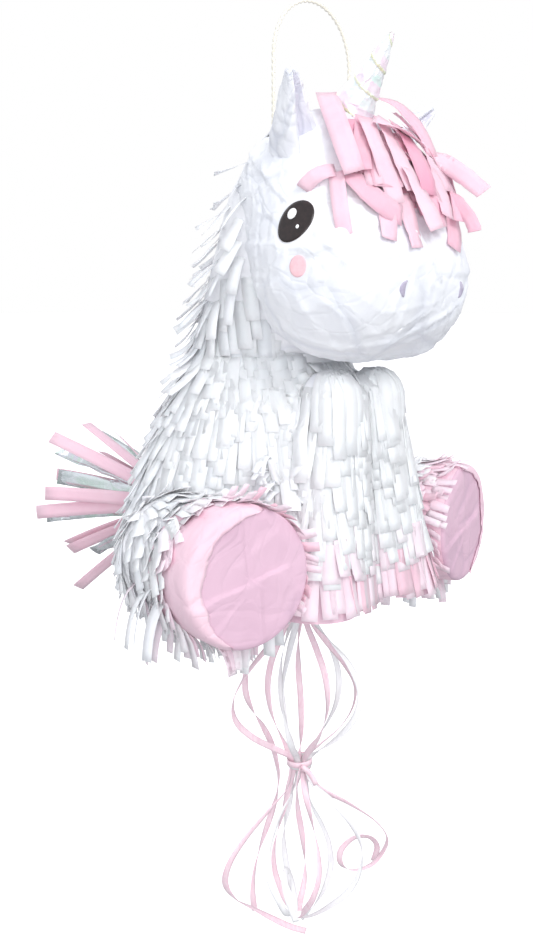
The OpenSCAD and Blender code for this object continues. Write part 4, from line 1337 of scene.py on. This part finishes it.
def tail_band(lean, azim, length, width, mat, r0, sag, crinkle):
    l, b = math.radians(lean), math.radians(azim)
    radial = Vector((math.cos(b), 0, math.sin(b)))
    axis = Vector((0, 1, 0))
    d = (axis * math.cos(l) + radial * math.sin(l)).normalized()
    side = d.cross(radial).normalized()
    p = ROOT + radial * r0 * mm - axis * 2 * mm
    pts, sides = [p], [side]
    n = 10
    twist0 = trng.uniform(-0.5, 0.5)
    for i in range(1, n + 1):
        t = i / n
        p = p + d * length * mm / n
        if crinkle:
            p = p + d.cross(side) * trng.uniform(-1, 1) * crinkle * mm
        d = (d + DOWN * sag / n + radial * (0.06 / n)).normalized()
        pts.append(p)
        sides.append(Matrix.Rotation(twist0 * t + (trng.uniform(-0.3, 0.3) if crinkle else 0), 3, d) @ side)
    tail.add(pts, sides, width * mm, 0.3 * mm, mat, cup=trng.uniform(-0.6, 0.9) * mm, across=4)


for k in range(13):
    b = k * 360 / 13 + trng.uniform(-10, 10)
    tail_band(trng.uniform(24, 40), b, trng.uniform(112, 130), 11.5, trng.choice([0, 0, 1]), 5, 0.10, 0)
for k in range(10):
    b = 22 + k * 36 + trng.uniform(-12, 12)
    tail_band(trng.uniform(18, 40), b, trng.uniform(96, 124), 12.5, 3, 5, 0.1, 1.2)
for k in range(8):
    tail_band(trng.uniform(8, 24), k * 45 + trng.uniform(-15, 15), trng.uniform(84, 118), 10.5,
              trng.choice([0, 1, 1]), 3, 0.16, 0)
for k in range(16):
    tail_band(trng.uniform(46, 66), k * 22.5 + trng.uniform(-6, 6), trng.uniform(26, 38), 10.0,
              trng.choice([1, 2, 0]), 5, 0.1, 0)
tail.build("tail_bands", [PINK_LIGHT, PINK, PINK_DEEP, FOIL_TAIL], "pinata", "tissue_pink", "tail_strips",
           "tail_core")

# ---------------------------------------- hanging loop: two-ply string
loop_pts = []
x0, y0 = 41.0, -21.0
z0, zc = 307.4, 419.5 + 1.5 - 41
for i in range(37):
    loop_pts.append(P(-x0, y0, z0 + (zc - z0) * i / 36))
for i in range(1, 65):
    a = math.pi - math.pi * i / 64
    loop_pts.append(P(x0 * math.cos(a), y0, zc + x0 * math.sin(a)))
for i in range(1, 37):
    loop_pts.append(P(x0, y0, zc - (zc - z0) * i / 36))
fine = []
for i in range(len(loop_pts) - 1):
    fine += [loop_pts[i].lerp(loop_pts[i + 1], k / 2) for k in range(2)]
fine.append(loop_pts[-1])
vs = []
seg, run = 12, 0.0
for i, p in enumerate(fine):
    t = (fine[min(i + 1, len(fine) - 1)] - fine[max(i - 1, 0)]).normalized()
    if i:
        run += (p - fine[i - 1]).length
    s1 = Vector((0, 1, 0))
    s2 = t.cross(s1)
    turn = math.tau * run / 0.009
    for k in range(seg):
        a = math.tau * k / seg
        r = (1.05 + 0.42 * math.cos(2 * (a - turn))) * mm
        vs.append(p + (s1 * math.cos(a) + s2 * math.sin(a)) * r)
o = new_object("hanging_string", vs, tube_faces(len(fine) - 1, seg), [STRING], closed=True)
attach(o, "hanger", "string", "hanging_loop")

# ---------------------------------------- ribbon tie: wound ribbon with a small knot
tie = Strips()
c = P(0, RIBBON_Y, -TIE_Z)
for turn in range(3):
    pts, sides = [], []
    for k in range(33):
        a = math.tau * k / 32
        r = (8.9 + 0.5 * turn) * mm
        h = (-1.2 + 1.2 * turn + 0.8 * math.sin(a + turn)) * mm
        pts.append(c + Vector((r * math.cos(a), r * math.sin(a), h)))
        sides.append(Vector((0, 0, 1)))
    tie.add(pts, sides, 4.6 * mm, 0.25 * mm, turn % 2, cup=0.2 * mm, across=3)
for sg in (-1, 1):
    k0 = c + Vector((-7.0, -7.4, 0)) * mm
    d = Vector((-0.7 * sg - 0.3, -0.5, -0.35)).normalized()
    pts = [k0]
    for i in range(6):
        pts.append(pts[-1] + d * 3.2 * mm)
        d = (d + DOWN * 0.25).normalized()
    tie.add(pts, [UP.cross(d).normalized().cross(d)] * 7, 4.2 * mm, 0.25 * mm, 0, cup=0.3 * mm, across=3)
tie.build("ribbon_wrap", [RIB_PINK, RIB_WHITE], "decoy_ribbons", "ribbon_pink", "ribbon_tie")

# ---------------------------------------- finishes on the CAD parts that stay
finish = [(STRING, ["string_eyes"]), (WOOD, ["hanger_dowel"]), (BOARD, ["dowel_pads", "trap_door"]),
          (CARD, ["body_shell", "chest_panel", "base_plate", "neck_shell", "front_leg_right",
                  "front_leg_left",
                  "hind_leg_right", "hind_leg_left", "fill_flap"]),
          (SIDE_PAPER, ["front_hoof_right", "front_hoof_left"]), (RIB_PINK, ["ribbon_pad"]),
          (TAPE, ["decoy_patch", "door_tab", "door_hinge_tape", "flap_tab"])]
for m, names in finish:
    for n in names:
        if len(nodes[n].material_slots) == 0:
            nodes[n].data.materials.append(m)
        for sl in nodes[n].material_slots:
            sl.material = m

# ---------------------------------------- floor, lights, world
lo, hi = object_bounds()
me = bpy.data.meshes.new("floor")
z = lo[2] - 0.02
me.from_pydata([(-30, -30, z), (30, -30, z), (30, 30, z), (-30, 30, z)], [], [(0, 1, 2, 3)])
fm, nt, b = tree("floor_white", 0.9)
b.inputs["Base Color"].default_value = (0.6, 0.6, 0.61, 1)
b.inputs["Emission Color"].default_value = (1, 1, 1, 1)
b.inputs["Emission Strength"].default_value = 0.72
me.materials.append(fm)
fo = bpy.data.objects.new("floor", me)
bpy.context.scene.collection.objects.link(fo)
fo.visible_diffuse = False
fo.visible_glossy = False


def area(name, loc, target, size, power, color=(1, 1, 1)):
    d = bpy.data.lights.new(name, "AREA")
    d.shape, d.size, d.energy, d.color = "DISK", size, power, color
    ob = bpy.data.objects.new(name, d)
    bpy.context.scene.collection.objects.link(ob)
    ob.location = loc
    ob.rotation_mode = "QUATERNION"
    ob.rotation_quaternion = (Vector(target) - Vector(loc)).to_track_quat("-Z", "Y")
    return ob


area("key", (-0.5, -1.6, 1.1), (0, -0.02, -0.25), 0.9, 17, (1.0, 0.985, 0.975))
area("fill", (-1.4, -1.3, -0.1), (0, 0, -0.35), 1.3, 12, (0.96, 0.98, 1.0))
area("back", (0.3, 1.6, 0.9), (0, 0.05, -0.2), 1.2, 5, (0.94, 0.96, 1.0))
w = bpy.data.worlds.new("studio")
w.use_nodes = True
wt = w.node_tree
soft = wt.nodes["Background"]
soft.inputs["Color"].default_value = (0.93, 0.95, 1.0, 1)
plain = add(wt, "ShaderNodeBackground")
plain.inputs["Color"].default_value = (1, 1, 1, 1)
plain.inputs["Strength"].default_value = 1.0
lp, mx = add(wt, "ShaderNodeLightPath"), add(wt, "ShaderNodeMixShader")
sky, axes, slope = add(wt, "ShaderNodeTexCoord"), add(wt, "ShaderNodeSeparateXYZ"), add(wt,
        "ShaderNodeMapRange")
slope.inputs["From Min"].default_value, slope.inputs["From Max"].default_value = -0.7, 0.7
slope.inputs["To Min"].default_value, slope.inputs["To Max"].default_value = 0.56, 1.02
wt.links.new(sky.outputs["Generated"], axes.inputs[0])
wt.links.new(axes.outputs["Z"], slope.inputs["Value"])
wt.links.new(slope.outputs["Result"], soft.inputs["Strength"])
wt.links.new(lp.outputs["Is Camera Ray"], mx.inputs[0])
wt.links.new(soft.outputs[0], mx.inputs[1])
wt.links.new(plain.outputs[0], mx.inputs[2])
wt.links.new(mx.outputs[0], wt.nodes["World Output"].inputs["Surface"])
bpy.context.scene.world = w
bpy.context.scene.view_settings.view_transform = "Standard"
bpy.context.scene.view_settings.look = "None"
bpy.context.scene.view_settings.exposure = 0.0
